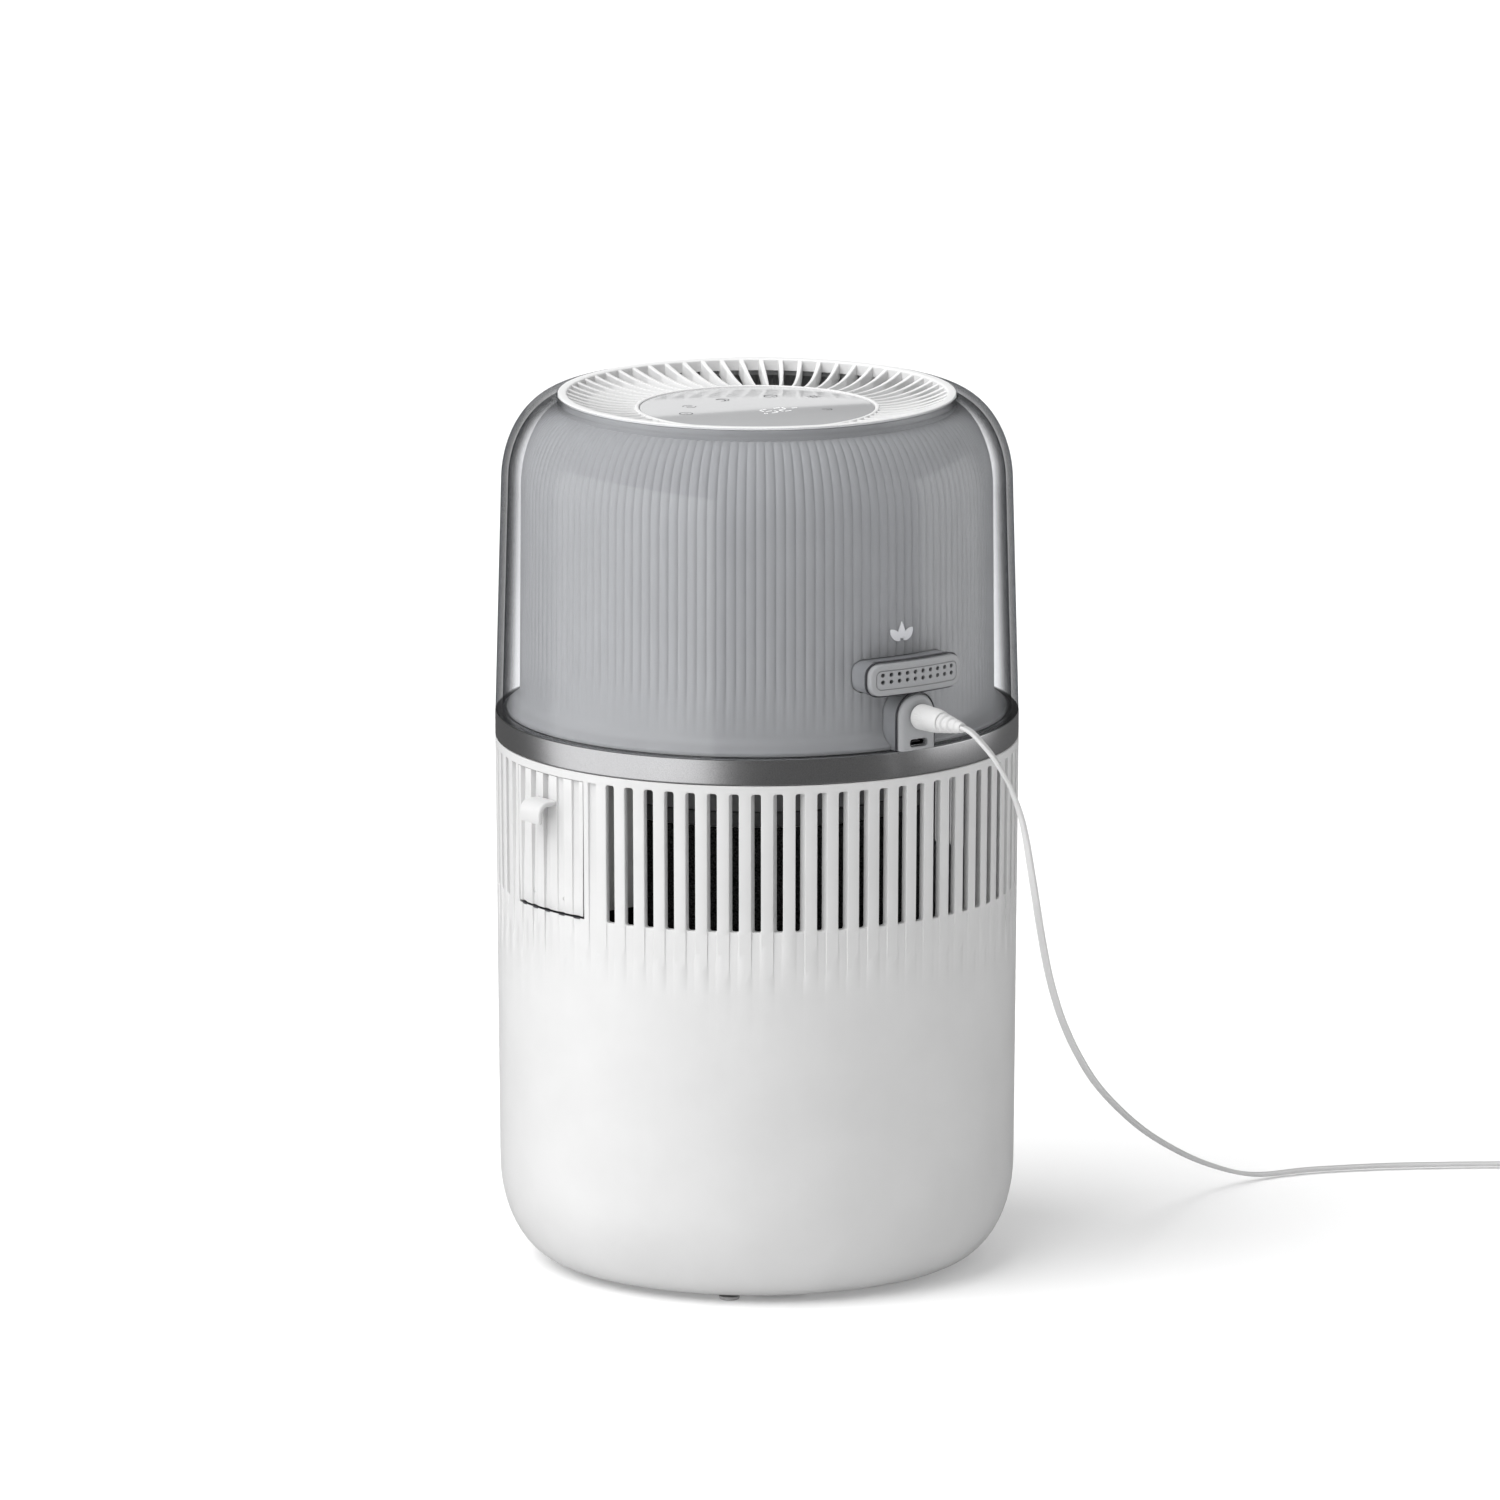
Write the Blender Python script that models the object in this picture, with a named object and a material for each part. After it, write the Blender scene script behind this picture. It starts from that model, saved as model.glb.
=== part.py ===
"""Round tower air purifier: slotted lower housing, clear dome round a fluted barrel, swirl outlet
on top, sensor door at +X, aroma drawer and power lead at the back (+Y). Metres, +Z up, the origin
on the floor under the body's axis."""
import math

import bmesh
import bpy
from mathutils import Matrix, Vector

# Driving dimensions -----------------------------------------------------------------------------
GAP = 0.0003                      # clearance between touching parts
BODY_R = 0.1125                   # outer radius at the metal ring
UNDERSIDE_Z = 0.0018              # flat underside, standing on the foot pads
RING_Z = (0.2297, 0.2407)         # metal ring, bottom and top
TOP_Z = 0.3786                    # rim of the outlet
WALL = 0.0026                     # wall of the lower housing
DRAFT = math.tan(math.radians(0.5))

CORNER_WIDTH = 0.0263             # bottom corner, a quarter ellipse
CORNER_HEIGHT = 0.0421
CORNER_STEPS = 4

SLOT_COUNT = 75
SLOT_Z = (0.1659, 0.2258)
SLOT_WIDTH = 0.0041
DOOR_PITCHES = 5                  # the door takes the room of five slots

OPENING_R = 0.0775                # filter opening in the underside
TAB_REACH = 0.0056                # the cover's bayonet tabs beyond the opening
COVER_Z = (0.0022, 0.0122)
DISH_R = 0.0300                   # finger dish in the cover
FILTER_R = 0.0755
FILTER_BORE_R = 0.0440
FILTER_Z = (0.0135, 0.2240)

DECK_Z = 0.2345                   # plate that carries the fan's inlet
INLET_R = 0.0450
IMPELLER_R = 0.0660
IMPELLER_Z = (0.2535, 0.2920)
SHAFT_R = 0.0030
DIFFUSER_Z = (0.3050, 0.3250)
SCREW_R = 0.0012
SCREW_HEAD_R = 0.0024
HUB_R = 0.0503                    # display cup and control disc
DISC_Z = 0.3718

DOME_SIDE_R = (0.1124, 0.1097)    # dome's side, bottom and top
DOME_CENTRE_R = 0.0825            # dome shoulder, a quarter ellipse
DOME_SHOULDER_Z = 0.3400
DOME_WALL = 0.0030
BARREL_R = 0.1028
BARREL_WALL = 0.0022
BARREL_FOOT_R = 0.1076
BARREL_SHOULDER_Z = 0.3370
BARREL_TOP_Z = 0.3708
RIM_R = (0.0813, 0.0853)
VANE_COUNT = 60
VANE_SHARE = 0.23                 # part of the pitch that is vane
VANE_DEPTH = 0.0070
VANE_SWIRL = math.radians(3.7)    # a vane's outer end against its inner end
VANE_R = (0.0524, 0.0660, 0.0745)  # along a vane's hollow top edge, from the hub ring to the rim
VANE_RISE = (0.0002, 0.0014, 0.0031)  # height over the control disc there

REAR_FACE_R = 0.1142              # drawer face and jack face, proud of the dome
DRAWER_Z = 0.2727
DRAWER_SIZE = (0.0480, 0.0136)
DRAWER_CORNER = 0.0050
HOLE_COLUMNS = 10                 # scent holes along the drawer's face
HOLE_PITCH = 0.00407
JACK_Z = 0.2554
JACK_BUMP_WIDTH = 0.0190
USB_Z = 0.2440

DOOR_Z = (0.1669, 0.2254)
DOOR_WALL = 0.0024
HINGE = Vector((0.1090, 0.0, 0.1729))
HINGE_PIN_R = 0.0008
HINGE_KNUCKLE_R = 0.0018
HINGE_HALF = 0.0085               # half length of the door's knuckle
LUG_Y = (0.0092, 0.0122)          # the two lugs that hold the pin
DOOR_TURN = math.radians(24)
PULL_SIZE = (0.0140, 0.0096)      # hooked finger pull: width and height
PULL_Z = 0.2101
PULL_REACH = 0.1215

CONTACT_LENGTH = 0.0200           # metal barrel of the DC plug
LEAD_R = 0.0018
LEAD_ROUTE = [
    (0.0000, 0.1444, 0.2552), (0.0000, 0.1472, 0.2550), (-0.0008, 0.1505, 0.2535),
    (-0.0024, 0.1550, 0.2496),
    (-0.0047, 0.1590, 0.2446), (-0.0073, 0.1616, 0.2385), (-0.0110, 0.1638, 0.2300),
    (-0.0163, 0.1651, 0.2145), (-0.0229, 0.1637, 0.1880), (-0.0313, 0.1588, 0.1633),
    (-0.0415, 0.1515, 0.1427), (-0.0567, 0.1404, 0.1214), (-0.0785, 0.1242, 0.0996),
    (-0.1070, 0.1032, 0.0772), (-0.1483, 0.0742, 0.0514), (-0.1861, 0.0501, 0.0313),
    (-0.2226, 0.0325, 0.0144), (-0.2557, 0.0245, 0.0032), (-0.2853, 0.0285, 0.0020),
    (-0.3135, 0.0409, 0.0020), (-0.3393, 0.0566, 0.0020), (-0.3638, 0.0738, 0.0020),
    (-0.3816, 0.0872, 0.0020),
]
LEAD_POINTS = 56
LEAD_FLOOR = 0.0001               # clearance under the lead where it lies
COIL_CENTRE = Vector((-0.4099, 0.0742, 0.0))
COIL_R = (0.0138, 0.0292)
COIL_Z = (0.0012, 0.0087)
TIE_TURN = 233                    # degrees, across the coil from where the lead comes and goes
FAR_DIRECTION = Vector((-0.7986, 0.6018, 0.0))   # the way the lead runs out to the coil
ADAPTER_START = Vector((-0.4061, 0.1057, 0.0050))  # where the lead enters the adapter's relief
ADAPTER_SIZE = (0.0440, 0.0280, 0.0260)          # length, width, height


# Helpers ----------------------------------------------------------------------------------------
def material(name, colour, roughness=0.5, metallic=0.0, alpha=1.0):
    """A Principled material, made once for each name."""
    found = bpy.data.materials.get(name)
    if found:
        return found
    made = bpy.data.materials.new(name)
    made.use_nodes = True
    shader = made.node_tree.nodes["Principled BSDF"]
    shader.inputs["Base Color"].default_value = (*colour, 1.0)
    shader.inputs["Roughness"].default_value = roughness
    shader.inputs["Metallic"].default_value = metallic
    shader.inputs["Alpha"].default_value = alpha
    return made


def add(name, verts, faces, look=None, smooth=True):
    """An object from vertices and faces, with its normals facing out."""
    mesh = bpy.data.meshes.new(name)
    mesh.from_pydata([tuple(v) for v in verts], [], faces)
    work = bmesh.new()
    work.from_mesh(mesh)
    unused = [vert for vert in work.verts if not vert.link_faces]
    bmesh.ops.delete(work, geom=unused, context="VERTS")
    bmesh.ops.recalc_face_normals(work, faces=work.faces)
    work.to_mesh(mesh)
    work.free()
    piece = bpy.data.objects.new(name, mesh)
    bpy.context.collection.objects.link(piece)
    if look:
        mesh.materials.append(look)
    if smooth:
        mesh.shade_smooth()
        mesh.set_sharp_from_angle(angle=math.radians(35))
    return piece


def even_angles(count, start=0.0):
    return [start + math.tau * i / count for i in range(count)]


def polar(radius, angle, height):
    return Vector((radius * math.cos(angle), radius * math.sin(angle), height))


def ring_shell(name, look, outer, inner, angles, windows=None, twist=None, lean=0.0, coarse=(0, 1)):
    """A closed ring between two profiles of (radius, height) points, listed bottom to top.
    windows(row, column) says which cells are open right through; twist turns each row, and lean
    turns the whole inner profile against the outer one. coarse is (rows, group): that many of the
    lowest rows have one face for each group of columns."""
    rows = len(outer)
    columns = len(angles)
    twist = twist or [0.0] * rows
    verts = []
    for profile, turn in ((outer, 0.0), (inner, lean)):
        for row, (radius, height) in enumerate(profile):
            verts += [polar(radius, angle + turn + twist[row], height) for angle in angles]

    def at(side, row, column):
        return (side * rows + row) * columns + column % columns

    def is_open(row, column):
        return bool(windows) and windows(row, column % columns)

    faces = []
    coarse_rows, group = coarse
    for row in range(coarse_rows):
        for column in range(0, columns, group):
            upper = range(group, -1, -1) if row == coarse_rows - 1 else (group, 0)
            for side in (0, 1):
                face = [at(side, row, column), at(side, row, column + group)]
                face += [at(side, row + 1, column + step) for step in upper]
                faces.append(face if side == 0 else face[::-1])
    for column in range(columns if coarse_rows else 0):
        if is_open(coarse_rows, column):
            faces.append([at(0, coarse_rows, column), at(0, coarse_rows, column + 1),
                          at(1, coarse_rows, column + 1), at(1, coarse_rows, column)])
    for row in range(coarse_rows, rows - 1):
        for column in range(columns):
            if is_open(row, column):
                continue
            for side in (0, 1):
                quad = [at(side, row, column), at(side, row, column + 1),
                        at(side, row + 1, column + 1), at(side, row + 1, column)]
                faces.append(quad if side == 0 else quad[::-1])
            if is_open(row, column + 1):
                faces.append([at(0, row, column + 1), at(1, row, column + 1),
                              at(1, row + 1, column + 1), at(0, row + 1, column + 1)])
            if is_open(row, column - 1):
                faces.append([at(0, row, column), at(0, row + 1, column),
                              at(1, row + 1, column), at(1, row, column)])
            if row + 1 < rows - 1 and is_open(row + 1, column):
                faces.append([at(0, row + 1, column), at(0, row + 1, column + 1),
                              at(1, row + 1, column + 1), at(1, row + 1, column)])
            if row > 0 and is_open(row - 1, column):
                faces.append([at(0, row, column), at(1, row, column),
                              at(1, row, column + 1), at(0, row, column + 1)])
    end = group if coarse_rows else 1
    for column in range(0, columns, end):
        after = column + end
        faces.append([at(0, 0, column), at(1, 0, column), at(1, 0, after), at(0, 0, after)])
    last = rows - 1
    for column in range(columns):
        faces.append([at(0, last, column), at(0, last, column + 1),
                      at(1, last, column + 1), at(1, last, column)])
    return add(name, verts, faces, look)


def turned(name, look, profile, steps=48, centre=(0.0, 0.0, 0.0), closed=False):
    """A profile of (radius, height) points turned about +Z. An open profile starts and ends on the
    axis; a closed one is a ring."""
    verts = []
    rings = []
    for radius, height in profile:
        if radius < 1e-7:
            rings.append([len(verts)] * steps)
            verts.append(Vector((0, 0, height)))
        else:
            rings.append(list(range(len(verts), len(verts) + steps)))
            verts += [polar(radius, angle, height) for angle in even_angles(steps)]
    pairs = list(zip(rings, rings[1:]))
    if closed:
        pairs.append((rings[-1], rings[0]))
    faces = []
    for low, high in pairs:
        for i in range(steps):
            j = (i + 1) % steps
            corners = [low[i], low[j], high[j], high[i]]
            faces.append(list(dict.fromkeys(corners)))
    moved = [v + Vector(centre) for v in verts]
    return add(name, moved, faces, look)


def ring(name, look, radii, heights, steps=64, centre=(0.0, 0.0, 0.0)):
    """A plain ring of rectangular section."""
    inner_r, outer_r = radii
    low, high = heights
    profile = [(inner_r, low), (outer_r, low), (outer_r, high), (inner_r, high)]
    return turned(name, look, profile, steps, centre, closed=True)


def disc(name, look, radius, heights, steps=32, centre=(0.0, 0.0, 0.0)):
    profile = [(0, heights[0]), (radius, heights[0]), (radius, heights[1]), (0, heights[1])]
    return turned(name, look, profile, steps, centre)


def place(piece, location, axis="Z"):
    """Turn a piece made along +Z onto another axis and put it at its place, in its mesh."""
    turns = {"Z": Matrix.Identity(4), "X": Matrix.Rotation(math.pi / 2, 4, "Y"),
             "Y": Matrix.Rotation(-math.pi / 2, 4, "X")}
    piece.data.transform(Matrix.Translation(Vector(location)) @ turns[axis])
    return piece


def block(name, look, low, high, bevel=0.0, segments=1):
    """A box between two corners, with all its edges bevelled."""
    work = bmesh.new()
    low = Vector(low)
    high = Vector(high)
    place_in = Matrix.Translation((low + high) / 2) @ Matrix.Diagonal(high - low).to_4x4()
    bmesh.ops.create_cube(work, size=1.0, matrix=place_in)
    if bevel:
        bmesh.ops.bevel(work, geom=work.edges[:], offset=bevel, segments=segments, affect="EDGES")
    mesh = bpy.data.meshes.new(name)
    work.to_mesh(mesh)
    work.free()
    piece = bpy.data.objects.new(name, mesh)
    bpy.context.collection.objects.link(piece)
    if look:
        mesh.materials.append(look)
    return piece


def slab(name, look, outline, low, high):
    """An outline of (x, z) points drawn out along +Y."""
    count = len(outline)
    verts = [Vector((x, low, z)) for x, z in outline] + [Vector((x, high, z)) for x, z in outline]
    faces = [list(range(count)), list(range(count, 2 * count))]
    faces += [[i, (i + 1) % count, count + (i + 1) % count, count + i] for i in range(count)]
    return add(name, verts, faces, look)


def rounded_outline(width, height, corner, centre_z, steps=4):
    """A rectangle with round corners, as (x, z) points."""
    points = []
    for turn in range(4):
        side_x = 1 if turn in (0, 3) else -1
        side_z = 1 if turn in (0, 1) else -1
        for i in range(steps + 1):
            angle = math.pi / 2 * (turn + i / steps)
            points.append((side_x * (width / 2 - corner) + corner * math.cos(angle),
                           centre_z + side_z * (height / 2 - corner) + corner * math.sin(angle)))
    return points


def cutter(piece):
    piece.hide_render = True
    piece.display_type = "WIRE"
    return piece


def apply_boolean(target, tool, operation):
    """Combine two objects at once, so that the tool can be removed."""
    step = target.modifiers.new(operation.lower(), "BOOLEAN")
    step.object = tool
    step.operation = operation
    step.solver = "EXACT"
    view = bpy.context.evaluated_depsgraph_get()
    shaped = bpy.data.meshes.new_from_object(target.evaluated_get(view))
    target.modifiers.remove(step)
    target.data = shaped
    bpy.data.objects.remove(tool)
    return target


def cut(target, tool):
    return apply_boolean(target, cutter(tool), "DIFFERENCE")


def fuse(target, tool):
    return apply_boolean(target, tool, "UNION")


def keep_common(target, tool):
    return apply_boolean(target, cutter(tool), "INTERSECT")


# Materials --------------------------------------------------------------------------------------
def white():
    return material("white_plastic", (0.80, 0.80, 0.79), 0.45)


def grey():
    return material("grey_plastic", (0.30, 0.30, 0.31), 0.5)


def dark():
    return material("dark_plastic", (0.05, 0.05, 0.055), 0.6)


def rubber():
    return material("rubber", (0.03, 0.03, 0.03), 0.85)


def steel():
    return material("steel", (0.55, 0.55, 0.56), 0.3, 1.0)


def aluminium():
    return material("aluminium", (0.62, 0.62, 0.63), 0.42, 1.0)


def clear():
    return material("clear_plastic", (0.45, 0.46, 0.48), 0.05, 0.0, 0.35)


def board():
    return material("circuit_board", (0.02, 0.16, 0.07), 0.5)


# Lower housing ----------------------------------------------------------------------------------
def wall_radius(height):
    return BODY_R - (RING_Z[0] - height) * DRAFT


def corner_profile(side_r, low, width, rise, steps, stop_r):
    """Quarter ellipse from the flat underside at stop_r up to the side wall."""
    points = [(stop_r, low)]
    for i in range(steps + 1):
        angle = math.pi / 2 * (1 - i / steps)
        points.append((side_r - width + width * math.cos(angle), low + rise - rise * math.sin(angle)))
    return points


def slot_angles():
    """Column edges: each slot's two sides, and the door's two sides on the rib centres."""
    pitch = math.tau / SLOT_COUNT
    half_slot = SLOT_WIDTH / BODY_R / 2
    angles = []
    for i in range(SLOT_COUNT):
        centre = pitch * i
        angles += [centre - half_slot, centre + half_slot]
    half_door = pitch * DOOR_PITCHES / 2
    angles += [half_door, -half_door]
    return sorted(angle % math.tau for angle in angles)


def base_housing():
    side_r = wall_radius(UNDERSIDE_Z + CORNER_HEIGHT)
    outer = corner_profile(side_r, UNDERSIDE_Z, CORNER_WIDTH, CORNER_HEIGHT, CORNER_STEPS, OPENING_R)
    floor_z = UNDERSIDE_Z + 0.0057
    inner = corner_profile(side_r - WALL, floor_z, CORNER_WIDTH - WALL, CORNER_HEIGHT - 0.0057,
                           CORNER_STEPS, OPENING_R)
    top_z = RING_Z[0] - GAP
    for height in (SLOT_Z[0], SLOT_Z[1], top_z):
        outer.append((wall_radius(height), height))
        inner.append((wall_radius(height) - WALL, height))
    angles = slot_angles()
    columns = len(angles)
    slot_row = len(outer) - 3
    half_slot = SLOT_WIDTH / BODY_R / 2
    half_door = math.pi / SLOT_COUNT * DOOR_PITCHES

    def windows(row, column):
        if row != slot_row:
            return False
        start = angles[column]
        end = angles[(column + 1) % columns] + (math.tau if column + 1 == columns else 0.0)
        middle = (start + end) / 2
        from_door = abs((middle + math.pi) % math.tau - math.pi)
        if from_door < half_door:
            return True
        return abs(end - start - 2 * half_slot) < 1e-6

    housing = ring_shell("base_housing", white(), outer, inner, angles, windows, coarse=(slot_row, 4))
    notch_r = (0.0700, OPENING_R + TAB_REACH + 0.0006)
    for turn in (60, 180, 300):
        cut(housing, sector("notch", None, notch_r, (0.0, floor_z + 0.001), turn, 15))
    return housing


def sector(name, look, radii, heights, middle_deg, width_deg, steps=5):
    """Part of a ring between two angles."""
    start = math.radians(middle_deg - width_deg / 2)
    step = math.radians(width_deg) / steps
    verts = []
    for i in range(steps + 1):
        angle = start + step * i
        for radius, height in ((radii[0], heights[0]), (radii[1], heights[0]),
                               (radii[1], heights[1]), (radii[0], heights[1])):
            verts.append(polar(radius, angle, height))
    faces = [[0, 1, 2, 3], [4 * steps + i for i in range(4)]]
    for i in range(steps):
        faces += [[4 * i + k, 4 * i + (k + 1) % 4, 4 * i + 4 + (k + 1) % 4, 4 * i + 4 + k] for k in range(4)]
    return add(name, verts, faces, look)


def foot_pads():
    for i, turn in enumerate((45, 135, 225, 315)):
        centre = polar(0.0850, math.radians(turn), 0.0)
        disc(f"foot_pad_{i + 1}", rubber(), 0.0045, (0.0, UNDERSIDE_Z - GAP), 16, centre)


def filter_cover():
    """Twist cover: a dished disc with a grip bar across it and three bayonet tabs."""
    rim_r = OPENING_R - 0.0006
    low, high = COVER_Z
    wall = 0.0024
    edge_z = 0.0100
    profile = [(0, high - wall), (DISH_R, high - wall), (DISH_R, low), (rim_r, low), (rim_r, edge_z),
               (rim_r - 0.0030, edge_z), (rim_r - 0.0030, low + wall), (DISH_R + wall, low + wall),
               (DISH_R + wall, high), (0, high)]
    cover = turned("filter_cover", white(), profile, 24)
    bar_x = DISH_R + 0.0010
    fuse(cover, block("grip_bar", None, (-bar_x, -0.0045, 0.0020), (bar_x, 0.0045, 0.0110), 0.0010))
    for turn in (40, 160, 280):
        fuse(cover, sector("tab", None, (rim_r - 0.0020, OPENING_R + TAB_REACH), (0.0079, 0.0097), turn, 13))
    ring("cover_seal", rubber(), (0.0650, 0.0735), (0.0049, 0.0064), 24)
    return cover


def filter_cartridge():
    low, high = FILTER_Z
    media = ring("filter_media", white(), (FILTER_BORE_R + 0.0018, FILTER_R - 0.0022),
                 (low + 0.0053, 0.2035), 24)
    ring("filter_mesh", dark(), (FILTER_R - 0.0019, FILTER_R - 0.0007), (low + 0.0053, 0.2035), 24)
    ring("filter_bottom_cap", grey(), (FILTER_BORE_R, FILTER_R), (low, low + 0.0050), 24)
    ring("filter_lower_band", grey(), (FILTER_BORE_R, FILTER_R - 0.0003), (0.2038, 0.2104), 24)
    ring("filter_top_cap", grey(), (FILTER_BORE_R, FILTER_R), (0.2107, high), 24)
    ring("filter_seal", rubber(), (FILTER_BORE_R + 0.004, FILTER_BORE_R + 0.012),
         (high + GAP, DECK_Z - GAP), 24)
    return media


# Ring, dome and barrel --------------------------------------------------------------------------
def trim_ring():
    low, high = RING_Z
    bevel = 0.0005
    inner_r = 0.1070
    profile = [(inner_r, low), (BODY_R - bevel, low), (BODY_R, low + bevel), (BODY_R, high - bevel),
               (BODY_R - bevel, high), (inner_r, high)]
    return turned("trim_ring", aluminium(), profile, 48, closed=True)


def shoulder(side_r, base_z, shoulder_z, top_z, centre_r, steps, top_r):
    """Side line with a little draft, then a quarter ellipse that ends at top_r."""
    points = [(side_r[0], base_z), (side_r[1], shoulder_z)]
    width = side_r[1] - centre_r
    last = math.acos((top_r - centre_r) / width)
    for i in range(1, steps + 1):
        angle = last * i / steps
        height = shoulder_z + (top_z - shoulder_z) * math.sin(angle)
        points.append((centre_r + width * math.cos(angle), height))
    return points


def rear_cut(wall_piece, reach):
    """Open a wall for the drawer and the jack housing."""
    margin = 0.0004
    start = 0.0850
    size = (DRAWER_SIZE[0] + 2 * margin, DRAWER_SIZE[1] + 2 * margin)
    cut(wall_piece, slab("drawer_cut", None, rounded_outline(*size, DRAWER_CORNER, DRAWER_Z), start, reach))
    cut(wall_piece, slab("jack_cut", None, tombstone(JACK_BUMP_WIDTH / 2 + margin, RING_Z[0]), start, reach))


def tombstone(half_width, low_z, steps=10):
    """Upright outline with a round top about the plug's axis."""
    points = [(-half_width, low_z), (half_width, low_z)]
    for i in range(steps + 1):
        angle = math.pi * i / steps
        points.append((half_width * math.cos(angle), JACK_Z + half_width * math.sin(angle)))
    return points


def clear_dome():
    base_z = RING_Z[1] + GAP
    top_r = RIM_R[1] + 0.0006
    side_r = DOME_SIDE_R
    outer = shoulder(side_r, base_z, DOME_SHOULDER_Z, TOP_Z, DOME_CENTRE_R, 4, top_r)
    inner_side_r = (side_r[0] - DOME_WALL, side_r[1] - DOME_WALL)
    inner = shoulder(inner_side_r, base_z, DOME_SHOULDER_Z, TOP_Z - DOME_WALL, DOME_CENTRE_R - 0.001, 4, top_r)
    dome = ring_shell("clear_dome", clear(), outer, inner, even_angles(48))
    rear_cut(dome, 0.1250)
    return dome


def inner_barrel():
    base_z = RING_Z[1] + GAP
    foot_z = base_z + 0.0045
    top_r = RIM_R[0] + 0.0010
    side_z = foot_z + 0.0030
    centre_r = DOME_CENTRE_R - 0.0030
    taper = 0.0004
    outer_side_r = (BARREL_R + taper, BARREL_R - taper)
    flat_r = BARREL_R - BARREL_WALL
    outer = [(BARREL_FOOT_R, base_z), (BARREL_FOOT_R, base_z + 0.0015), (BARREL_R + 4 * taper, foot_z)]
    outer += shoulder(outer_side_r, side_z, BARREL_SHOULDER_Z, BARREL_TOP_Z, centre_r, 3, top_r)
    inner = [(flat_r, base_z), (flat_r, base_z + 0.0015), (flat_r, foot_z)]
    inner += shoulder((flat_r, flat_r - taper), side_z, BARREL_SHOULDER_Z, BARREL_TOP_Z - BARREL_WALL,
                      centre_r, 3, top_r)
    barrel = ring_shell("inner_barrel", grey(), outer, inner, even_angles(48))
    rear_cut(barrel, 0.1090)
    return barrel


# Outlet, control disc and fan -------------------------------------------------------------------
def outlet_grille():
    """Inner ring, swirl vanes and outer rim in one moulding."""
    pitch = math.tau / VANE_COUNT
    angles = []
    for i in range(VANE_COUNT):
        angles += [pitch * i, pitch * (i + VANE_SHARE)]
    radii = [HUB_R + GAP, *VANE_R, *RIM_R]
    tops = [DISC_Z + 0.0004] + [DISC_Z + rise for rise in VANE_RISE] + [TOP_Z - 0.0006, TOP_Z]
    twist = []
    for radius in radii:
        share = (radius - VANE_R[0]) / (RIM_R[0] - VANE_R[0])
        twist.append(VANE_SWIRL * min(max(share, 0.0), 1.0))
    top = list(zip(radii, tops))
    under = [(radius, height - VANE_DEPTH) for radius, height in top]
    last_open = len(radii) - 2

    def windows(row, column):
        return 1 <= row < last_open and column % 2 == 1

    return ring_shell("outlet_grille", white(), top, under, angles, windows, twist)


def control_head():
    disc("control_disc", dark(), HUB_R, (DISC_Z - 0.0020, DISC_Z), 48)
    cup_top = DISC_Z - 0.0020 - GAP
    floor_z = DIFFUSER_Z[1] + GAP
    profile = [(0, floor_z), (HUB_R, floor_z), (HUB_R, cup_top), (HUB_R - 0.0018, cup_top),
               (HUB_R - 0.0018, floor_z + 0.002), (0, floor_z + 0.002)]
    cup = turned("hub_cup", white(), profile, 40)
    disc("display_board", board(), HUB_R - 0.0030, (cup_top - 0.0044, cup_top - 0.0028), 24)
    return cup


def diffuser():
    """Plate with fixed blades that straighten the air above the fan."""
    blades = 9
    pitch = math.tau / blades
    angles = []
    for i in range(blades):
        angles += [pitch * i, pitch * (i + 0.08), pitch * (i + 0.54)]
    radii = [0.0060, 0.0290, 0.0520, 0.0740, 0.0955, 0.0998]
    low, high = DIFFUSER_Z
    top = [(radius, high) for radius in radii]
    under = [(radius, high - 0.0025 if radius < 0.03 else low) for radius in radii]
    twist = [0.0, 0.0, 0.0, math.radians(7), math.radians(12), math.radians(12)]

    def windows(row, column):
        return 2 <= row < 4 and column % 3 != 0

    plate = ring_shell("diffuser", grey(), top, under, angles, windows, twist)
    for centre in screw_places():
        cut(plate, disc("hole", None, SCREW_R + 2 * GAP, (high - 0.006, high + 0.001), 12, centre))
        cut(plate, disc("counterbore", None, SCREW_HEAD_R + GAP, (high - 0.0015, high + 0.001), 16, centre))
    return plate


def screw_places():
    return [polar(0.0160, math.radians(turn), 0.0) for turn in (90, 210, 330)]


def motor():
    top_z = DIFFUSER_Z[1] - 0.0025 - GAP
    can = ring("motor_can", steel(), (SHAFT_R + 0.0006, 0.0240), (top_z - 0.0240, top_z), 20)
    for i, centre in enumerate(screw_places()):
        cut(can, disc("hole", None, SCREW_R + GAP, (top_z - 0.005, top_z + 0.001), 12, centre))
        head_low = DIFFUSER_Z[1] - 0.0015 + GAP
        screw = [(0, top_z - 0.0045), (SCREW_R, top_z - 0.0045), (SCREW_R, head_low),
                 (SCREW_HEAD_R, head_low), (SCREW_HEAD_R, DIFFUSER_Z[1]), (0, DIFFUSER_Z[1])]
        turned(f"motor_screw_{i + 1}", steel(), screw, 12, centre)
    return can


def fan_deck():
    """Plate across the body with the fan's bell-mouth inlet."""
    low = DECK_Z
    profile = [(INLET_R, low), (0.1064, low), (0.1064, low + 0.0024), (INLET_R + 0.0100, low + 0.0024),
               (INLET_R + 0.0045, low + 0.0060), (INLET_R + 0.0026, 0.2505), (INLET_R, 0.2505)]
    return turned("fan_deck", grey(), profile, 32, closed=True)


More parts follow.
